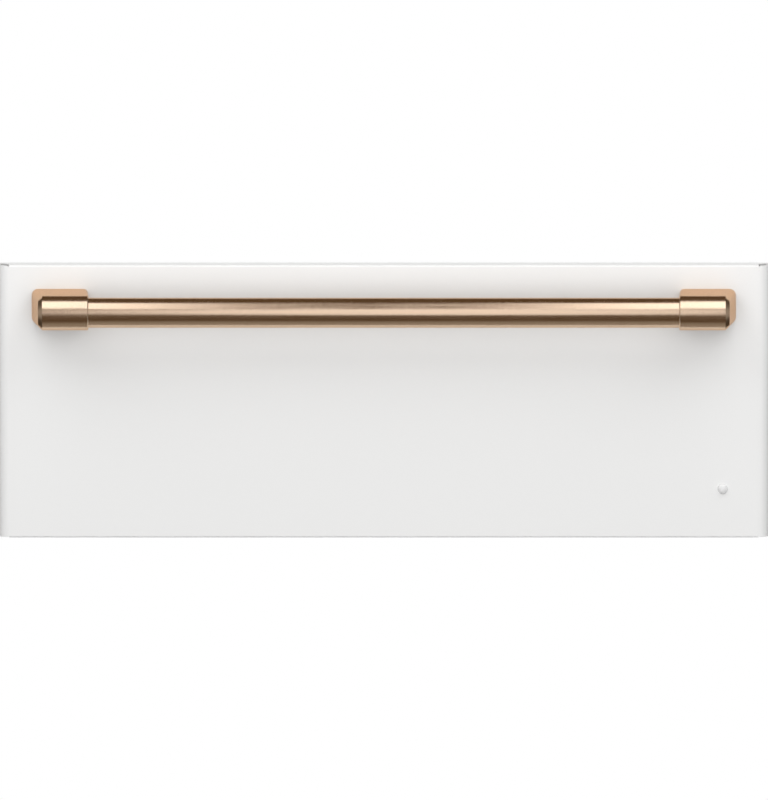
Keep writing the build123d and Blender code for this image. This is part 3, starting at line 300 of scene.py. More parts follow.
def fibre_group():
    """Matted fibres: the higher of two noises, stretched across each other."""
    group, given, made = new_group(
        "fibres",
        [
            ("Dark", "Color", (0.5, 0.45, 0.3, 1)),
            ("Light", "Color", (0.8, 0.75, 0.6, 1)),
            ("Scale", "Float", 200),
        ],
        [("Colour", "Color"), ("Height", "Float")],
    )
    place = new_node(group, "TexCoord")
    higher = new_node(group, "Math", operation="MAXIMUM")
    spread = new_node(group, "MapRange", [("From Min", 0.4), ("From Max", 0.72)])
    for strand, stretch in enumerate(((1, 0.12, 1), (0.12, 1, 0.6))):
        pull = new_node(group, "VectorMath", [(1, stretch)], operation="MULTIPLY")
        noise = new_node(group, "TexNoise", [("Detail", 5), ("Distortion", 0.8)])
        join(
            group,
            (place, "Object", pull, 0),
            (pull, "Vector", noise, "Vector"),
            (given, "Scale", noise, "Scale"),
            (noise, "Fac", higher, strand),
        )
    join(group, (higher, "Value", spread, "Value"), (spread, "Result", made, "Height"))
    two_colours(group, given, spread, made)
    return group


fibres = fibre_group()


def matted(name, dark, light, scale, depth, **fixed):
    """A material of matted fibres from a dark to a light colour, with bumps depth metres
    high; fixed is the shader's."""
    material, shader = new_material(name, **fixed)
    marks = place_group(material, fibres, Dark=(*dark, 1), Light=(*light, 1), Scale=scale)
    join(material.node_tree, (marks, "Colour", shader, "Base Color"))
    add_bump(material, shader, marks, "Height", depth)
    return material


def in_scene(name, data):
    """A new object in the scene."""
    thing = bpy.data.objects.new(name, data)
    bpy.context.scene.collection.objects.link(thing)
    return thing


def applied(thing, name):
    """The mesh of an object with its modifiers applied; the object itself goes."""
    bpy.context.view_layer.update()
    depsgraph = bpy.context.evaluated_depsgraph_get()
    mesh = bpy.data.meshes.new_from_object(thing.evaluated_get(depsgraph))
    mesh.name = name
    bpy.data.objects.remove(thing)
    return mesh


def add_piece(name, mesh, body, material, replaces=(), even=True):
    """Puts a finished mesh into the scene, on its body, in place of the CAD nodes
    named."""
    piece = in_scene(name, mesh)
    mesh.materials.clear()
    mesh.materials.append(material)
    if even:
        even_shading(piece, keep_sharp=True)
    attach(piece, body)
    if replaces:
        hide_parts(*replaces)
    return piece


wool_voxel = 0.005
wool = matted(
    "glass_wool",
    dark=(0.42, 0.36, 0.22),
    light=(0.74, 0.68, 0.50),
    scale=160,
    depth=1.5e-3,
    Roughness=0.95,
    Specular_IOR_Level=0.2,
)


def soft_pad(name, body):
    """A pad cut from glass wool: the CAD pad's outline with softly rounded edges, drawn in
    along its normals by 0.3 mm + 0.6 mm (1 + sin 61x sin 53y)
    + 0.25 mm (1 + sin 340(x + z) sin 290(y - z)), with x, y and z in metres."""
    plain = nodes[name].data.copy()
    work = bmesh.new()
    work.from_mesh(plain)
    bmesh.ops.remove_doubles(work, verts=work.verts, dist=1e-6)
    work.to_mesh(plain)
    work.free()
    block = in_scene(name + "_plain", plain)
    voxels = block.modifiers.new("voxels", "REMESH")
    voxels.mode = "VOXEL"
    voxels.voxel_size = wool_voxel
    pad = applied(block, name + "_wool")
    place = np.empty(len(pad.vertices) * 3)
    normal = np.empty(len(pad.vertices) * 3)
    pad.vertices.foreach_get("co", place)
    pad.vertex_normals.foreach_get("vector", normal)
    place = place.reshape(-1, 3)
    x, y, z = place.T
    depth = 0.0003 + 0.0006 * (1 + np.sin(61 * x) * np.sin(53 * y))
    depth += 0.00025 * (1 + np.sin(340 * (x + z)) * np.sin(290 * (y - z)))
    place = place - normal.reshape(-1, 3) * depth[:, None]
    pad.vertices.foreach_set("co", place.reshape(-1))
    pad.update()
    pad.shade_smooth()
    add_piece(name + "_wool", pad, body, wool, [name], even=False)


for side in ("top", "left", "right", "base", "rear"):
    soft_pad("insulation_" + side, "chassis")
soft_pad("front_insulation", "drawer")

# ------------------------------------------------------------------------------------------
# Heating: the tubular element in its clips and bushes over a reflector, with its limiter.
# The element's steel sheath is darkened by heat; the reflector is aluminised sheet, and the
# bushes and the terminal block are bare ceramic.

sheath = finish(
    "heat_darkened_sheath",
    dark=(0.05, 0.042, 0.038),
    light=(0.13, 0.115, 0.10),
    scale=70,
    detail=6,
    rough=(0.42, 0.62),
    depth=2e-5,
    Metallic=0.9,
)
clothe(["heating_element"], sheath, crease=50)

aluminised = finish(
    "aluminised_sheet",
    dark=(0.60, 0.60, 0.60),
    light=(0.72, 0.72, 0.71),
    scale=60,
    detail=5,
    rough=(0.4, 0.5),
    depth=1e-5,
    Metallic=1,
)
clothe(["heat_reflector", "element_clips"], aluminised)

ceramic = finish(
    "bare_ceramic",
    dark=(0.66, 0.63, 0.57),
    light=(0.76, 0.74, 0.69),
    scale=500,
    detail=4,
    rough=0.7,
    depth=3e-5,
)
clothe(["element_bushes", "terminal_block"], ceramic)

# ------------------------------------------------------------------------------------------
# Controls on the fixed front: switch, shaft, knob, dial plate and lamp, and the loom behind.
# Moulded black plastic on a turned brass shaft; the dial is anodised aluminium with printed
# numbers, the lamp amber, and the loom's sleeve braided glass.

moulding = finish(
    "black_moulding",
    dark=(0.016, 0.016, 0.017),
    light=(0.030, 0.030, 0.031),
    scale=1500,
    rough=(0.42, 0.52),
    depth=2e-5,
)
clothe(["control_switch", "control_knob", "thermal_limiter"], moulding)

brass = finish(
    "turned_brass",
    dark=(0.56, 0.40, 0.16),
    light=(0.70, 0.52, 0.24),
    scale=300,
    stretch=(1, 8, 1),
    rough=(0.25, 0.35),
    Metallic=1,
)
clothe(["switch_shaft"], brass)

anodised = finish(
    "anodised_dial",
    dark=(0.62, 0.62, 0.62),
    light=(0.72, 0.72, 0.72),
    scale=2500,
    stretch=(0.04, 1, 1),
    rough=(0.3, 0.4),
    Metallic=1,
)
clothe(["dial_plate"], anodised)

ink = finish(
    "dial_ink",
    dark=(0.02, 0.02, 0.022),
    light=(0.045, 0.045, 0.047),
    scale=3000,
    rough=(0.5, 0.65),
)

knob_low, knob_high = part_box("control_knob")
knob_x = (knob_low.x + knob_high.x) / 2
knob_z = (knob_low.z + knob_high.z) / 2
dial_front_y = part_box("dial_plate")[0].y
number_height = 0.0034
number_reach = (0.0134, 0.0172)  # from the knob's axis, across and up
number_step = radians(67.5)
number_count = 5
print_rise = 0.00004


def printed(words):
    """Flat print on the dial: each word, given with its place (x, z), is a thin raised mesh
    that faces forward, with the letter's own across and up turned into x and z."""
    work = bmesh.new()
    for word, x, z in words:
        curve = bpy.data.curves.new("print", "FONT")
        curve.body = word
        curve.size = number_height
        curve.extrude = print_rise
        curve.resolution_u = 3
        curve.align_x = "CENTER"
        curve.align_y = "CENTER"
        flat = applied(in_scene("print", curve), "print")
        forward = Matrix.Rotation(pi / 2, 4, "X")
        flat.transform(Matrix.Translation((x, dial_front_y, z)) @ forward)
        work.from_mesh(flat)
    bmesh.ops.remove_doubles(work, verts=work.verts, dist=1e-6)
    bmesh.ops.recalc_face_normals(work, faces=work.faces)
    mesh = bpy.data.meshes.new("dial_numbers")
    work.to_mesh(mesh)
    work.free()
    return mesh


numbers = [
    (
        str(count),
        knob_x + number_reach[0] * sin(count * number_step),
        knob_z + number_reach[1] * cos(count * number_step),
    )
    for count in range(number_count)
]
add_piece("dial_numbers", printed(numbers), "chassis", ink, even=False)


def smoothed(mesh, crease):
    """Smooth shading between all faces that meet at less than crease degrees."""
    mesh.shade_smooth()
    mesh.set_sharp_from_angle(angle=radians(crease))


def skinned(name, grids, crease=30, close_rows=False, close_columns=False):
    """One closed mesh from grids of points, rows x columns x 3: each cell of a grid is a face,
    equal points are merged, so that seams and poles close, and every face is turned outward."""
    points, faces, used = [], [], 0
    for grid in grids:
        rows, columns = grid.shape[:2]
        order = np.arange(rows * columns).reshape(rows, columns) + used
        if close_rows:
            order = np.concatenate([order, order[:1]], axis=0)
        if close_columns:
            order = np.concatenate([order, order[:, :1]], axis=1)
        cells = [order[:-1, :-1], order[:-1, 1:], order[1:, 1:], order[1:, :-1]]
        faces.append(np.stack(cells, axis=-1).reshape(-1, 4))
        points.append(grid.reshape(-1, 3))
        used += rows * columns
    mesh = bpy.data.meshes.new(name)
    mesh.from_pydata(np.concatenate(points).tolist(), [], np.concatenate(faces).tolist())
    work = bmesh.new()
    work.from_mesh(mesh)
    bmesh.ops.remove_doubles(work, verts=work.verts, dist=2e-7)
    bmesh.ops.dissolve_degenerate(work, edges=work.edges, dist=1e-7)
    bmesh.ops.recalc_face_normals(work, faces=work.faces)
    work.to_mesh(mesh)
    work.free()
    smoothed(mesh, crease)
    return mesh


pointer_reach = (0.0022, 0.0084)  # from the knob's axis
pointer_half_width = 0.0006
pointer_rise = 0.00006
pointer_sink = 0.0002
pointer_steps = 20
pointer_straight = pointer_reach[1] - pointer_reach[0] - 2 * pointer_half_width
pointer_turn = np.linspace(0, 2 * pi, pointer_steps, endpoint=False)
pointer_middle = np.array([knob_x, 0, knob_z + sum(pointer_reach) / 2])
upper = np.where(pointer_turn < pi - 0.01, 1, -1)  # the other half ring stands below

# A flat oblong: a half ring at each end of the straight, from pole to pole.
pointer_ring = pointer_middle + np.stack(
    [
        pointer_half_width * np.cos(pointer_turn),
        np.zeros(pointer_steps),
        pointer_half_width * np.sin(pointer_turn) + pointer_straight / 2 * upper,
    ],
    axis=1,
)
pointer_pole = np.broadcast_to(pointer_middle, pointer_ring.shape)
pointer_front = [0, knob_low.y - pointer_rise, 0]
pointer_rear = [0, knob_low.y + pointer_sink, 0]
pointer_grid = np.stack(
    [
        pointer_pole + pointer_front,
        pointer_ring + pointer_front,
        pointer_ring + pointer_rear,
        pointer_pole + pointer_rear,
    ]
)
paint = finish(
    "pointer_paint",
    dark=(0.70, 0.70, 0.68),
    light=(0.82, 0.82, 0.80),
    scale=2500,
    rough=(0.35, 0.5),
)
pointer_mesh = skinned("knob_pointer", [pointer_grid], close_columns=True)
add_piece("knob_pointer", pointer_mesh, "knob", paint)

amber = finish(
    "amber_lamp",
    dark=(0.72, 0.36, 0.06),
    light=(0.85, 0.50, 0.12),
    scale=400,
    rough=0.15,
    Transmission_Weight=0.5,
)
clothe(["indicator_lamp"], amber)

sleeve = matted(
    "glass_braid",
    dark=(0.55, 0.53, 0.46),
    light=(0.78, 0.76, 0.70),
    scale=1200,
    depth=2e-4,
    Roughness=0.8,
)
clothe(["wiring_loom"], sleeve, crease=60)

# ------------------------------------------------------------------------------------------
# Telescopic runners: three folded members a side, balls in two thin cages between them, and
# the levers. Zinc-plated steel members and cages, polished balls; the levers are black
# plastic, the bumpers rubber, and the screws of the whole drawer plain zinc.

runner_zinc = finish(
    "zinc_plate",
    dark=(0.56, 0.57, 0.59),
    light=(0.66, 0.67, 0.70),
    scale=500,
    stretch=(1, 0.05, 1),
    detail=4,
    rough=(0.26, 0.38),
    depth=5e-6,
    Metallic=1,
)
ball_steel = finish(
    "polished_balls",
    dark=(0.66, 0.66, 0.68),
    light=(0.74, 0.74, 0.76),
    scale=600,
    rough=(0.05, 0.12),
    Metallic=1,
)
screw_zinc = finish(
    "screw_zinc",
    dark=(0.50, 0.50, 0.51),
    light=(0.62, 0.62, 0.63),
    scale=800,
    rough=(0.3, 0.42),
    Metallic=1,
)
rubber = finish(
    "bumper_rubber",
    dark=(0.012, 0.012, 0.012),
    light=(0.026, 0.026, 0.026),
    scale=900,
    rough=(0.6, 0.75),
    depth=2e-5,
)
for side in ("left", "right"):
    for member in ("outer", "middle", "inner"):
        clothe([f"slide_{member}_{side}"], runner_zinc)
    for race in ("outer", "inner"):
        clothe([f"ball_cage_{race}_{side}"], runner_zinc)
        clothe([f"slide_balls_{race}_{side}"], ball_steel, crease=70)
    clothe([f"release_lever_{side}"], moulding)
clothe(["slide_bumpers"], rubber)
clothe(["case_screws", "drawer_screws", "handle_screws"], screw_zinc)

# ------------------------------------------------------------------------------------------
# Drawer box: two side sheets and a back that carry the pan.
# Folded from stainless sheet with its grain along each sheet, and screwed together.

clothe(["drawer_side_left", "drawer_side_right", "drawer_back"], lining)

# ------------------------------------------------------------------------------------------
# Food pan: one deep-drawn stainless sheet, satin outside and in.
# It lies on the sides by its rim and lifts out.

pan_steel = finish(
    "satin_pan",
    dark=(0.62, 0.62, 0.61),
    light=(0.70, 0.70, 0.69),
    scale=700,
    stretch=(0.05, 1, 1),
    rough=(0.28, 0.36),
    depth=5e-6,
    Metallic=1,
)
clothe(["drawer_pan"], pan_steel)

# ------------------------------------------------------------------------------------------
# Rack that stands in the pan and lifts out.
# Chromed steel wire, welded at each crossing.

chrome = finish(
    "chromed_wire",
    dark=(0.62, 0.62, 0.63),
    light=(0.74, 0.74, 0.75),
    scale=120,
    rough=(0.08, 0.18),
    Metallic=1,
)
clothe(["warming_rack"], chrome, crease=60)

# ------------------------------------------------------------------------------------------
# Gasket round the opening: a foot with a round bulb on it.
# One moulded ring of grey silicone, pressed on the back of the drawer's front.

silicone = finish(
    "grey_silicone",
    dark=(0.06, 0.06, 0.063),
    light=(0.10, 0.10, 0.104),
    scale=300,
    rough=(0.6, 0.72),
    depth=3e-5,
)

gasket_low, gasket_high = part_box("drawer_gasket")
gasket_width = 0.005
gasket_corner = 0.007  # at its inner edge
bulb_radius = gasket_width / 2
foot_edge = 0.0002
foot_rise = 0.0008
neck = 0.0006  # how far in the waist lies between foot and bulb
neck_rise = 0.0014
bulb_turn = np.linspace(0, pi, 13)
bulb_y = gasket_high.y - bulb_radius
bulb = np.stack(
    [bulb_radius + bulb_radius * np.cos(bulb_turn), bulb_y + bulb_radius * np.sin(bulb_turn)],
    axis=1,
)
gasket_profile = np.concatenate(
    [
        [
            (foot_edge, gasket_low.y),
            (gasket_width - foot_edge, gasket_low.y),
            (gasket_width, gasket_low.y + foot_rise),
            (gasket_width - neck, gasket_low.y + neck_rise),
        ],
        bulb,
        [(neck, gasket_low.y + neck_rise), (0, gasket_low.y + foot_rise)],
    ]
)


def ring_grid(half_x, middle_z, half_z, corner, profile):
    """A profile of (outward, depth) pairs carried round a rounded rectangle: at the turn t of
    a corner the point lies (corner + outward) * (cos t, sin t) from that corner's centre."""
    turn = np.linspace(0, 2 * pi, 33)[:-1].reshape(4, 8)
    turn = np.concatenate([turn, turn[:, :1] + pi / 2], axis=1)
    side_x = np.array([1, -1, -1, 1])[:, None] * (half_x - corner)
    side_z = np.array([1, 1, -1, -1])[:, None] * (half_z - corner)
    outward, depth = profile.T
    reach = corner + outward[:, None]
    x = side_x.repeat(9, 1).reshape(1, -1) + reach * np.cos(turn).reshape(1, -1)
    z = side_z.repeat(9, 1).reshape(1, -1) + reach * np.sin(turn).reshape(1, -1)
    return np.stack([x, np.broadcast_to(depth[:, None], x.shape), middle_z + z], axis=-1)


gasket_grid = ring_grid(
    gasket_high.x - gasket_width,
    (gasket_low.z + gasket_high.z) / 2,
    (gasket_high.z - gasket_low.z) / 2 - gasket_width,
    gasket_corner,
    gasket_profile,
)
gasket_mesh = skinned("bulb_gasket", [gasket_grid], crease=50, close_rows=True, close_columns=True)
add_piece("bulb_gasket", gasket_mesh, "drawer", silicone, ["drawer_gasket"])

# ------------------------------------------------------------------------------------------
# White front: one sheet of steel folded over the top and the bottom, wrapped round the sides.
# Its matt white coat has a very fine even texture; slots in the bottom fold let the warm air
# out, and the folds stop short of the rounded corners.

skin_low, skin_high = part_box("front_skin")
skin_sheet = 0.001
side_bend = 0.010
edge_bend = 0.0018
lip_bend = 0.0020
lip_height = 0.0125
lip_flat = 0.0004  # level sheet between a fold's full reach and the bend of its lip
corner_notch = 0.0090  # how far back the folds start behind the rounded corners
notch_slant = 0.0080
notch_edge = 0.0010
notch_end = 0.0001
corner_rise = 0.0015  # the corners of the wrap reach past the start of each fold
corner_drop = 0.0013
corner_step = 0.0002
outlet_size = (0.034, 0.006)
outlet_pitch = 0.060
outlet_count = 8
outlet_cut = (-0.001, 0.003)  # how far the cutting tools reach below and above the fold
face_cut = (-0.002, 0.003)  # and before and behind the face
lens_hole_radius = 0.0033
lens_shift = (-0.0012, 0.0010)  # across and up from its CAD node, to where it is seen
screw_hole_radius = 0.0028
screw_pitch_z = 0.018


def bent_line(corners, radii, most=radians(7.5)):
    """Places and unit normals (to the left of the way) along straight lines joined by round
    bends. A bend of radius r and turn t starts r * tan(t / 2) before its corner, and its point
    at the share k has the normal turned by k * t and lies r along that normal from the bend's
    centre. Radius 0 is a plain point."""
    corners = np.asarray(corners, float)
    ways = np.diff(corners, axis=0)
    ways /= np.linalg.norm(ways, axis=1)[:, None]
    lefts = np.stack([-ways[:, 1], ways[:, 0]], axis=1)
    places, normals = [corners[:1]], [lefts[:1]]
    for corner, radius, way, left, next_way, next_left in zip(
        corners[1:-1], radii, ways[:-1], lefts[:-1], ways[1:], lefts[1:]
    ):
        turn = np.arctan2(way[0] * next_way[1] - way[1] * next_way[0], way @ next_way)
        if radius == 0 and abs(turn) > 0.001:
            places.append(np.stack([corner, corner]))
            normals.append(np.stack([left, next_left]))
        elif radius == 0:
            places.append(corner[None])
            normals.append(left[None])
        else:
            side = np.sign(turn)
            centre = corner - way * radius * np.tan(abs(turn) / 2) + side * left * radius
            angle = np.linspace(0, turn, max(3, int(np.ceil(abs(turn) / most)) + 1))[:, None]
            turned_left = left * np.cos(angle) + np.array([-left[1], left[0]]) * np.sin(angle)
            places.append(centre - side * radius * turned_left)
            normals.append(turned_left)
    return np.concatenate(places + [corners[-1:]]), np.concatenate(normals + [lefts[-1:]])


def sheet_grids(middle, normals, thickness):
    """The closed skin of a sheet: its middle surface moved half the thickness out and in along
    the normals, and the four cut edges between."""
    outer = middle + normals * thickness / 2
    inner = middle - normals * thickness / 2
    return [
        outer,
        inner,
        np.stack([outer[0], inner[0]]),
        np.stack([outer[-1], inner[-1]]),
        np.stack([outer[:, 0], inner[:, 0]]),
        np.stack([outer[:, -1], inner[:, -1]]),
    ]


def gathered(name, meshes, crease=30):
    """One mesh from several."""
    work = bmesh.new()
    for mesh in meshes:
        work.from_mesh(mesh)
    whole = bpy.data.meshes.new(name)
    work.to_mesh(whole)
    work.free()
    smoothed(whole, crease)
    return whole


def rod_grid(ends, radius, steps=24):
    """A straight rod with flat ends between two places: rings of the radius round the line
    between them, and a pole at each end."""
    start, end = (np.asarray(place, float) for place in ends)
    way = (end - start) / np.linalg.norm(end - start)
    across_1 = np.cross(way, (0, 0, 1) if abs(way[2]) < 0.9 else (1, 0, 0))
    across_1 /= np.linalg.norm(across_1)
    across_2 = np.cross(way, across_1)
    turn = np.linspace(0, 2 * pi, steps, endpoint=False)[:, None]
    ring = radius * (np.cos(turn) * across_1 + np.sin(turn) * across_2)
    pole = np.zeros_like(ring)
    return np.stack([start + pole, start + ring, end + ring, end + pole])


def cut(mesh, tools, name, crease=30):
    """The mesh with the closed tool meshes taken out of it."""
    block = in_scene(name, mesh)
    tool = in_scene(name + "_tool", gathered(name + "_tool", tools))
    taking = block.modifiers.new("cut", "BOOLEAN")
    taking.operation = "DIFFERENCE"
    taking.solver = "EXACT"
    taking.object = tool
    made = applied(block, name)
    bpy.data.objects.remove(tool)
    smoothed(made, crease)
    return made


half = skin_sheet / 2
fold_end_x = skin_high.x - side_bend
face_y = skin_low.y
rear_y = skin_high.y
top_z = skin_high.z
bottom_z = skin_low.z
notch_y = face_y + corner_notch
full_y = notch_y + notch_slant
lip_start_y = rear_y - lip_bend - lip_flat
lip_end_y = rear_y - half
level_y = [lip_start_y, lip_start_y - notch_end, full_y, notch_y]

# The folded middle, seen from the side: (depth, height) from the lower lip round the face to
# the upper lip, and how far each point reaches to the sides.
fold_line = [
    (lip_end_y, bottom_z + lip_height),
    (lip_end_y, bottom_z + half),
    *((y, bottom_z + half) for y in level_y),
    (face_y + half, bottom_z + half),
    (face_y + half, top_z - half),
    *((y, top_z - half) for y in reversed(level_y)),
    (lip_end_y, top_z - half),
    (lip_end_y, top_z - lip_height),
]
bends = [lip_bend - half, 0, 0, 0, 0, edge_bend - half]
fold_places, fold_normals = bent_line(fold_line, bends + bends[::-1])
notched_x = skin_high.x - notch_edge
reach = np.interp(
    fold_places[:, 0],
    [face_y, notch_y, full_y, lip_start_y - notch_end / 2, lip_start_y, rear_y],
    [fold_end_x, fold_end_x, notched_x, notched_x, fold_end_x, fold_end_x],
)
across_share = np.linspace(-1, 1, 5)
fold_middle = np.stack(
    [
        reach[:, None] * across_share,
        np.broadcast_to(fold_places[:, :1], (len(reach), 5)),
        np.broadcast_to(fold_places[:, 1:], (len(reach), 5)),
    ],
    axis=-1,
)
fold_out = np.zeros_like(fold_middle)
fold_out[..., 1:] = fold_normals[:, None, :]
folded = skinned("folded_middle", sheet_grids(fold_middle, fold_out, skin_sheet))

# The holes: one for the lens, two a side for the handle's screws, and the row of outlets.
lens_low, lens_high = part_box("indicator_lens")
lens_x = (lens_low.x + lens_high.x) / 2 + lens_shift[0]
lens_z = (lens_low.z + lens_high.z) / 2 + lens_shift[1]
screws_low, screws_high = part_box("handle_screws")
screws_z = (screws_low.z + screws_high.z) / 2
bracket_low, bracket_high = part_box("handle_bracket_right")
foot_x = (bracket_low.x + bracket_high.x) / 2
round_holes = [(lens_x, lens_z, lens_hole_radius)]
round_holes += [
    (side * foot_x, screws_z + step * screw_pitch_z / 2, screw_hole_radius)
    for side in (-1, 1)
    for step in (-1, 1)
]
holes = [
    rod_grid([(x, face_y + face_cut[0], z), (x, face_y + face_cut[1], z)], radius)
    for x, z, radius in round_holes
]
outlet_turn = np.linspace(0, 2 * pi, 24, endpoint=False)
outlet_round = outlet_size[1] / 2
outlet_straight = outlet_size[0] / 2 - outlet_round
outlet_side = np.sign(np.round(np.cos(outlet_turn), 6))
outlet_ring = np.stack(
    [
        outlet_round * np.cos(outlet_turn) + outlet_straight * outlet_side,
        outlet_round * np.sin(outlet_turn),
        np.zeros(24),
    ],
    axis=1,
)
for column in range(outlet_count):
    across = (column - (outlet_count - 1) / 2) * outlet_pitch
    low, high = ([across, (face_y + rear_y) / 2, bottom_z + cut_z] for cut_z in outlet_cut)
    pole = np.zeros_like(outlet_ring)
    holes.append(np.stack([pole + low, outlet_ring + low, outlet_ring + high, pole + high]))
tools = [skinned("hole", [grid], close_columns=True) for grid in holes]
folded = cut(folded, tools, "folded_middle")

# The wrap round each side, seen from above: (across, depth) from the face round the corner
# to the rear lip.
side_x = skin_high.x - half
corner_end_y = face_y + side_bend
wrap_line = [
    (fold_end_x, face_y + half),
    (fold_end_x + corner_step, face_y + half),
    (side_x, face_y + half),
    (side_x, corner_end_y + 2 * corner_step),
    (side_x, corner_end_y + 3 * corner_step),
    (side_x, rear_y - half),
    (side_x - lip_height + half, rear_y - half),
]
wrap_places, wrap_lefts = bent_line(wrap_line, [0, side_bend - half, 0, 0, lip_bend - half])
past_fold = wrap_places[:, 0] > fold_end_x + corner_step / 2
in_corner = past_fold & (wrap_places[:, 1] < corner_end_y + 2.5 * corner_step)
levels = np.stack(
    [
        bottom_z + edge_bend - np.where(in_corner, corner_drop, 0),
        top_z - edge_bend + np.where(in_corner, corner_rise, 0),
    ],
    axis=1,
)
wraps = []
for side in (-1, 1):
    wrap_middle = np.stack(
        [
            side * np.broadcast_to(wrap_places[:, :1], levels.shape),
            np.broadcast_to(wrap_places[:, 1:], levels.shape),
            levels,
        ],
        axis=-1,
    )
    wrap_out = np.zeros_like(wrap_middle)
    wrap_out[..., 0] = -side * wrap_lefts[:, :1]
    wrap_out[..., 1] = -wrap_lefts[:, 1:]
    wraps.append(skinned("wrap", sheet_grids(wrap_middle, wrap_out, skin_sheet)))
front_mesh = gathered("white_front", [folded, *wraps])

enamel = finish(
    "white_coat",
    dark=(0.845, 0.845, 0.84),
    light=(0.865, 0.865, 0.86),
    scale=1400,
    detail=2,
    rough=(0.42, 0.5),
    depth=1.2e-5,
)
add_piece("white_front", front_mesh, "drawer", enamel, ["front_skin"])

# ------------------------------------------------------------------------------------------
# Handle: a drawn tube in two cast end brackets, screwed on from behind the face.
# Bronze-toned metal; the tube is brushed along its length and the castings are satin.

bar_low, bar_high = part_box("handle_tube")
bar_y = (bar_low.y + bar_high.y) / 2
bar_z = (bar_low.z + bar_high.z) / 2
bar_radius = (bar_high.z - bar_low.z) / 2
bar_wall = 0.0015
bar_steps = 160
bracket_shift = 0.0016  # nearer to the middle than its CAD node, to where it is seen
sleeve_radius = (bracket_high.z - bracket_low.z) / 2
sleeve_length = 0.0492
sleeve_inner_x = bracket_low.x - bracket_shift
sleeve_outer_x = sleeve_inner_x + sleeve_length
sleeve_chamfer = 0.004
sleeve_lip = 0.0008
foot_inner_x = sleeve_inner_x + 0.001
foot_outer_x = bracket_high.x - bracket_shift
foot_round_outer = 0.0065
foot_round_inner = 0.0040
rounded_by = 0.85  # share of the way to the foot at which its edges are fully round
flat_steps = 13
round_steps = 65
edge_break = 0.00025
socket_start = 0.002  # before the sleeve's mouth
socket_depth = 0.0016
socket_gap = 0.0006


def turned(profile, steps, centre, axis="x"):
    """A profile of (along, radius) pairs turned about the x or y axis through centre: point
    (i, j) is at along_i, radius_i, and turn 2 pi j / steps."""
    along, radius = np.asarray(profile, float).T
    turn = np.linspace(0, 2 * pi, steps, endpoint=False)
    cosines = radius[:, None] * np.cos(turn)[None, :]
    sines = radius[:, None] * np.sin(turn)[None, :]
    level = np.broadcast_to(along[:, None], cosines.shape)
    ordered = [level, cosines, sines] if axis == "x" else [sines, level, cosines]
    return np.stack(ordered, axis=-1) + np.asarray(centre, float)


bronze = finish(
    "brushed_bronze",
    dark=(0.78, 0.60, 0.45),
    light=(0.82, 0.64, 0.49),
    scale=2200,
    stretch=(0.01, 1, 1),
    rough=(0.21, 0.27),
    depth=1e-6,
    Metallic=1,
    Specular_Tint=(0.85, 0.66, 0.50, 1),
)
tube_profile = [
    (bar_low.x, bar_radius - bar_wall),
    (bar_low.x, bar_radius),
    (bar_high.x, bar_radius),
    (bar_high.x, bar_radius - bar_wall),
]
tube_grid = turned(tube_profile, bar_steps, (0, bar_y, bar_z))
tube_mesh = skinned("handle_bar", [tube_grid], close_rows=True, close_columns=True)
add_piece("handle_bar", tube_mesh, "drawer", bronze, ["handle_tube"])


def bracket_grid(side):
    """One bracket as a closed D that is carried across: rows go from the middle of its inner
    end to the middle of its outer end, columns from the foot's top edge forward, round the
    sleeve and back to the foot. At the share t of the way back to the foot the ends move
    outward in proportion to t, and the edge between each end and the round turns from a
    straight chamfer (the sleeve) to a quarter circle (the foot)."""
    flat = np.linspace(1, 0, flat_steps)
    quarter_turn = np.full(flat_steps, pi / 2)
    round_turn = np.linspace(pi / 2, -pi / 2, round_steps)
    share = np.concatenate([flat, np.zeros(round_steps - 2), flat[::-1]])
    turn = np.concatenate([quarter_turn, round_turn[1:-1], -quarter_turn])
    inner_x = sleeve_inner_x + share * (foot_inner_x - sleeve_inner_x)
    outer_x = sleeve_outer_x + share * (foot_outer_x - sleeve_outer_x)
    inner_size = sleeve_lip + share * (foot_round_inner - sleeve_lip)
    outer_size = sleeve_chamfer + share * (foot_round_outer - sleeve_chamfer)
    bulge = np.clip(share / rounded_by, 0, 1)
    bulge = bulge * bulge * (3 - 2 * bulge)
    quarter = np.linspace(0, pi / 2, 9)[:, None]
    straight = quarter / (pi / 2)
    back_off = (1 - bulge) * (1 - straight) + bulge * (1 - np.sin(quarter))
    inset = (1 - bulge) * straight + bulge * (1 - np.cos(quarter))
    inner_edge = (inner_x + inner_size * back_off)[::-1]
    rows_x = np.concatenate([inner_edge, outer_x - outer_size * back_off])
    rows_inset = np.concatenate([(inner_size * inset)[::-1], outer_size * inset])
    radius = sleeve_radius - rows_inset
    middle_y = bar_y + share * (face_y - bar_y)
    y = middle_y - radius * np.cos(turn) * (share == 0)
    grid = np.stack([side * rows_x, y, bar_z + radius * np.sin(turn)], axis=-1)
    ends = [
        np.stack([side * end_x, middle_y, np.full_like(middle_y, bar_z)], axis=-1)[None]
        for end_x in (inner_x, outer_x)
    ]
    return np.concatenate([ends[0], grid, ends[1]])


for side, word in ((-1, "left"), (1, "right")):
    name = "handle_end_" + word
    casting = skinned("casting", [bracket_grid(side)], crease=24, close_columns=True)
    socket = [
        (side * (sleeve_inner_x - socket_start), bar_y, bar_z),
        (side * (sleeve_inner_x + socket_depth), bar_y, bar_z),
    ]
    socket_grid = rod_grid(socket, bar_radius + socket_gap, 96)
    casting = cut(casting, [skinned("socket", [socket_grid], close_columns=True)], name, crease=24)
    replaced = ["handle_bracket_" + word]
    bracket = add_piece(name, casting, "drawer", bronze, replaced, even=False)
    soften = bracket.modifiers.new("soften", "BEVEL")
    soften.width = edge_break
    soften.segments = 2
    soften.limit_method = "ANGLE"
    soften.angle_limit = radians(26)
    soften.harden_normals = False
    even_shading(bracket)

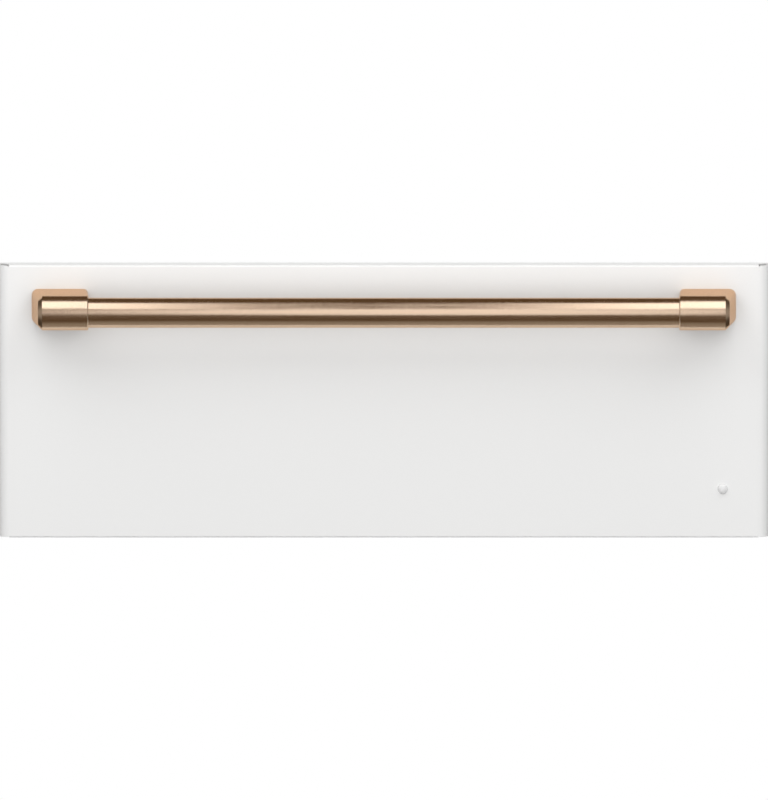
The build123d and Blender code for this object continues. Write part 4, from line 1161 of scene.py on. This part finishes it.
# ------------------------------------------------------------------------------------------
# Indicator lens: a small domed moulding in white, with a clear coat.
# Its stem snaps into the face by a barb behind the sheet.

lens_radius = 0.0050
lens_rise = face_y - lens_low.y
stem_radius = 0.0030
barb_radius = 0.0042
barb_start_y = face_y + skin_sheet
barb_end_y = barb_start_y + 0.002
lens_turn = np.linspace(0, pi / 2, 14)
dome = np.stack(
    [
        lens_low.y + lens_rise * (1 - np.cos(lens_turn) ** 0.9),
        lens_radius * np.sin(lens_turn) ** 0.85,
    ],
    axis=1,
)
stem = [
    (face_y, stem_radius),
    (barb_start_y, stem_radius),
    (barb_start_y, barb_radius),
    (barb_end_y, stem_radius),
    (lens_high.y, stem_radius),
    (lens_high.y, 0),
]
lens_grid = turned(np.concatenate([dome, stem]), 48, (lens_x, 0, lens_z), "y")
lens_mesh = skinned("lens_dome", [lens_grid], close_columns=True, crease=50)
lens = finish(
    "domed_lens",
    dark=(0.80, 0.80, 0.80),
    light=(0.84, 0.84, 0.84),
    scale=300,
    rough=0.16,
    Coat_Weight=0.6,
)
add_piece("lens_dome", lens_mesh, "drawer", lens, ["indicator_lens"])

# ------------------------------------------------------------------------------------------
# Stage: a small patch of white floor under the case, a dim room in front, and soft lamps.
# The floor shows white to the camera, to gloss and to glass, and takes the drawer's shadow.

floor_z = -0.735
floor_front_y = 0.12
floor_rear_y = 1.1
floor_half_x = 0.62
floor_colour = (0.8, 0.8, 0.8, 1)
floor_glow = 0.75  # the rest of the white comes from the lamps, so that a shadow shows
floor_mesh = bpy.data.meshes.new("white_sweep")
floor_mesh.from_pydata(
    [
        (-floor_half_x, floor_front_y, floor_z),
        (floor_half_x, floor_front_y, floor_z),
        (floor_half_x, floor_rear_y, floor_z),
        (-floor_half_x, floor_rear_y, floor_z),
    ],
    [],
    [(0, 1, 2, 3)],
)
in_scene("white_sweep", floor_mesh)
floor_paint = bpy.data.materials.new("white_floor")
floor_paint.use_nodes = True
tree = floor_paint.node_tree
tree.nodes.clear()
dull = new_node(tree, "BsdfDiffuse", [("Color", floor_colour)])
glow = new_node(tree, "Emission")
rays = new_node(tree, "LightPath")
camera_or_gloss = new_node(tree, "Math", operation="MAXIMUM")
or_glass = new_node(tree, "Math", operation="MAXIMUM")
strength = new_node(tree, "Math", [(1, floor_glow)], operation="MULTIPLY")
both = new_node(tree, "AddShader")
join(
    tree,
    (rays, "Is Camera Ray", camera_or_gloss, 0),
    (rays, "Is Glossy Ray", camera_or_gloss, 1),
    (camera_or_gloss, "Value", or_glass, 0),
    (rays, "Is Transmission Ray", or_glass, 1),
    (or_glass, "Value", strength, 0),
    (strength, "Value", glow, "Strength"),
    (dull, "BSDF", both, 0),
    (glow, "Emission", both, 1),
    (both, "Shader", new_node(tree, "OutputMaterial"), "Surface"),
)
floor_mesh.materials.append(floor_paint)

# The world: white to the camera, and to gloss and glass in level directions behind the
# drawer. Gloss sees a dim warm room in front, paler at the sides and below; plain surfaces
# get a broad light from the front.
world = bpy.data.worlds.new("room")
bpy.context.scene.world = world
world.use_nodes = True
tree = world.node_tree
tree.nodes.clear()
rays = new_node(tree, "LightPath")
axes = new_node(tree, "SeparateXYZ")
join(tree, (new_node(tree, "TexCoord"), "Generated", axes, "Vector"))


def ramp(axis, start, end, absolute=False):
    """How far the way along an axis, or its size, has gone from start to end, as 0 to 1."""
    value = axes.outputs[axis]
    if absolute:
        size = new_node(tree, "Math", operation="ABSOLUTE")
        tree.links.new(value, size.inputs[0])
        value = size.outputs[0]
    spread = new_node(tree, "MapRange", [("From Min", start), ("From Max", end)])
    tree.links.new(value, spread.inputs["Value"])
    return spread.outputs["Result"]


def laid_over(under, over, share):
    """One colour laid over another by a share; each is three numbers, or an output."""
    mixed = new_node(tree, "Mix", data_type="RGBA")
    tree.links.new(share, mixed.inputs[0])
    for place, colour in ((6, under), (7, over)):
        if isinstance(colour, tuple):
            mixed.inputs[place].default_value = (*colour, 1)
        else:
            tree.links.new(colour, mixed.inputs[place])
    return mixed.outputs[2]


def both_of(one, other):
    """The product of two shares."""
    product = new_node(tree, "Math", operation="MULTIPLY")
    tree.links.new(one, product.inputs[0])
    tree.links.new(other, product.inputs[1])
    return product.outputs[0]


white = (1, 1, 1)
warm_dark = (0.080, 0.042, 0.010)
pale_sides = (0.33, 0.31, 0.28)
dim_corners = (0.06, 0.045, 0.03)
pale_ground = (0.30, 0.27, 0.23)
around = (0.16, 0.16, 0.16)
from_front = (2.4, 2.4, 2.4)
from_behind = (0.7, 0.7, 0.7)
corners = both_of(ramp("X", 0.25, 0.55, True), ramp("Z", 0.15, 0.45, True))
in_gloss = laid_over(warm_dark, pale_sides, ramp("X", 0.35, 0.85, True))
in_gloss = laid_over(in_gloss, dim_corners, corners)
in_gloss = laid_over(in_gloss, pale_ground, ramp("Z", -0.80, -0.99))
in_gloss = laid_over(in_gloss, white, ramp("Y", 0.80, 0.90))
on_plain = laid_over(around, from_front, ramp("Y", -0.80, -0.95))
on_plain = laid_over(on_plain, from_behind, ramp("Y", 0.05, 0.35))
seen = laid_over(on_plain, in_gloss, rays.outputs["Is Glossy Ray"])
seen = laid_over(seen, in_gloss, rays.outputs["Is Transmission Ray"])
seen = laid_over(seen, white, rays.outputs["Is Camera Ray"])
room = new_node(tree, "Background")
tree.links.new(seen, room.inputs["Color"])
join(tree, (room, "Background", new_node(tree, "OutputWorld"), "Surface"))


def soft_lamp(name, x, elevation, distance, width, height, radiance):
    """A soft lamp in front of the bar, at an elevation and a distance from it, that faces it
    straight; its power is the radiance times pi times its area."""
    data = bpy.data.lights.new(name, "AREA")
    data.shape = "RECTANGLE"
    data.size = width
    data.size_y = height
    data.energy = radiance * pi * width * height
    lamp = in_scene(name, data)
    way = radians(elevation)
    aim = Vector((x, bar_y, bar_z))
    lamp.location = aim + distance * Vector((0, -cos(way), sin(way)))
    lamp.rotation_euler = (lamp.location - aim).to_track_quat("Z", "Y").to_euler()
    return data


# One long soft band of light over each half of the bar, and a weaker round one in front.
for name, x in (("lamp_left", -1.12), ("lamp_right", 1.085)):
    soft_lamp(name, x, elevation=61.5, distance=1.5, width=1.8, height=1.47, radiance=1.85)
front_lamp = soft_lamp(
    "lamp_front", 0.05, elevation=13, distance=1.7, width=0.78, height=1.5, radiance=0.80
)
front_lamp.shape = "ELLIPSE"

# ------------------------------------------------------------------------------------------
# Camera: far off, straight in front and a little above.
# From there the front shows as a true rectangle.

camera_distance = 30
camera_pitch = radians(8)
sensor_width = 36
picture_height = 0.7850  # real height that the picture's 800 lines cover at the face
aim_shift = (0.0002, 0.00155)  # across and up from the middle of the face
face_middle_z = (skin_low.z + skin_high.z) / 2
face_aim = Vector((aim_shift[0], face_y, face_middle_z + aim_shift[1]))
camera_data = bpy.data.cameras.new("camera")
camera_data.sensor_width = sensor_width
camera_data.lens = sensor_width * camera_distance / picture_height
camera_data.clip_start = 0.1
camera_data.clip_end = 200
camera = in_scene("camera", camera_data)
to_camera = Vector((0, -cos(camera_pitch), sin(camera_pitch)))
camera.location = face_aim + camera_distance * to_camera
camera.rotation_euler = (pi / 2 - camera_pitch, 0, 0)
bpy.context.scene.camera = camera
bpy.context.scene.view_settings.view_transform = "Standard"
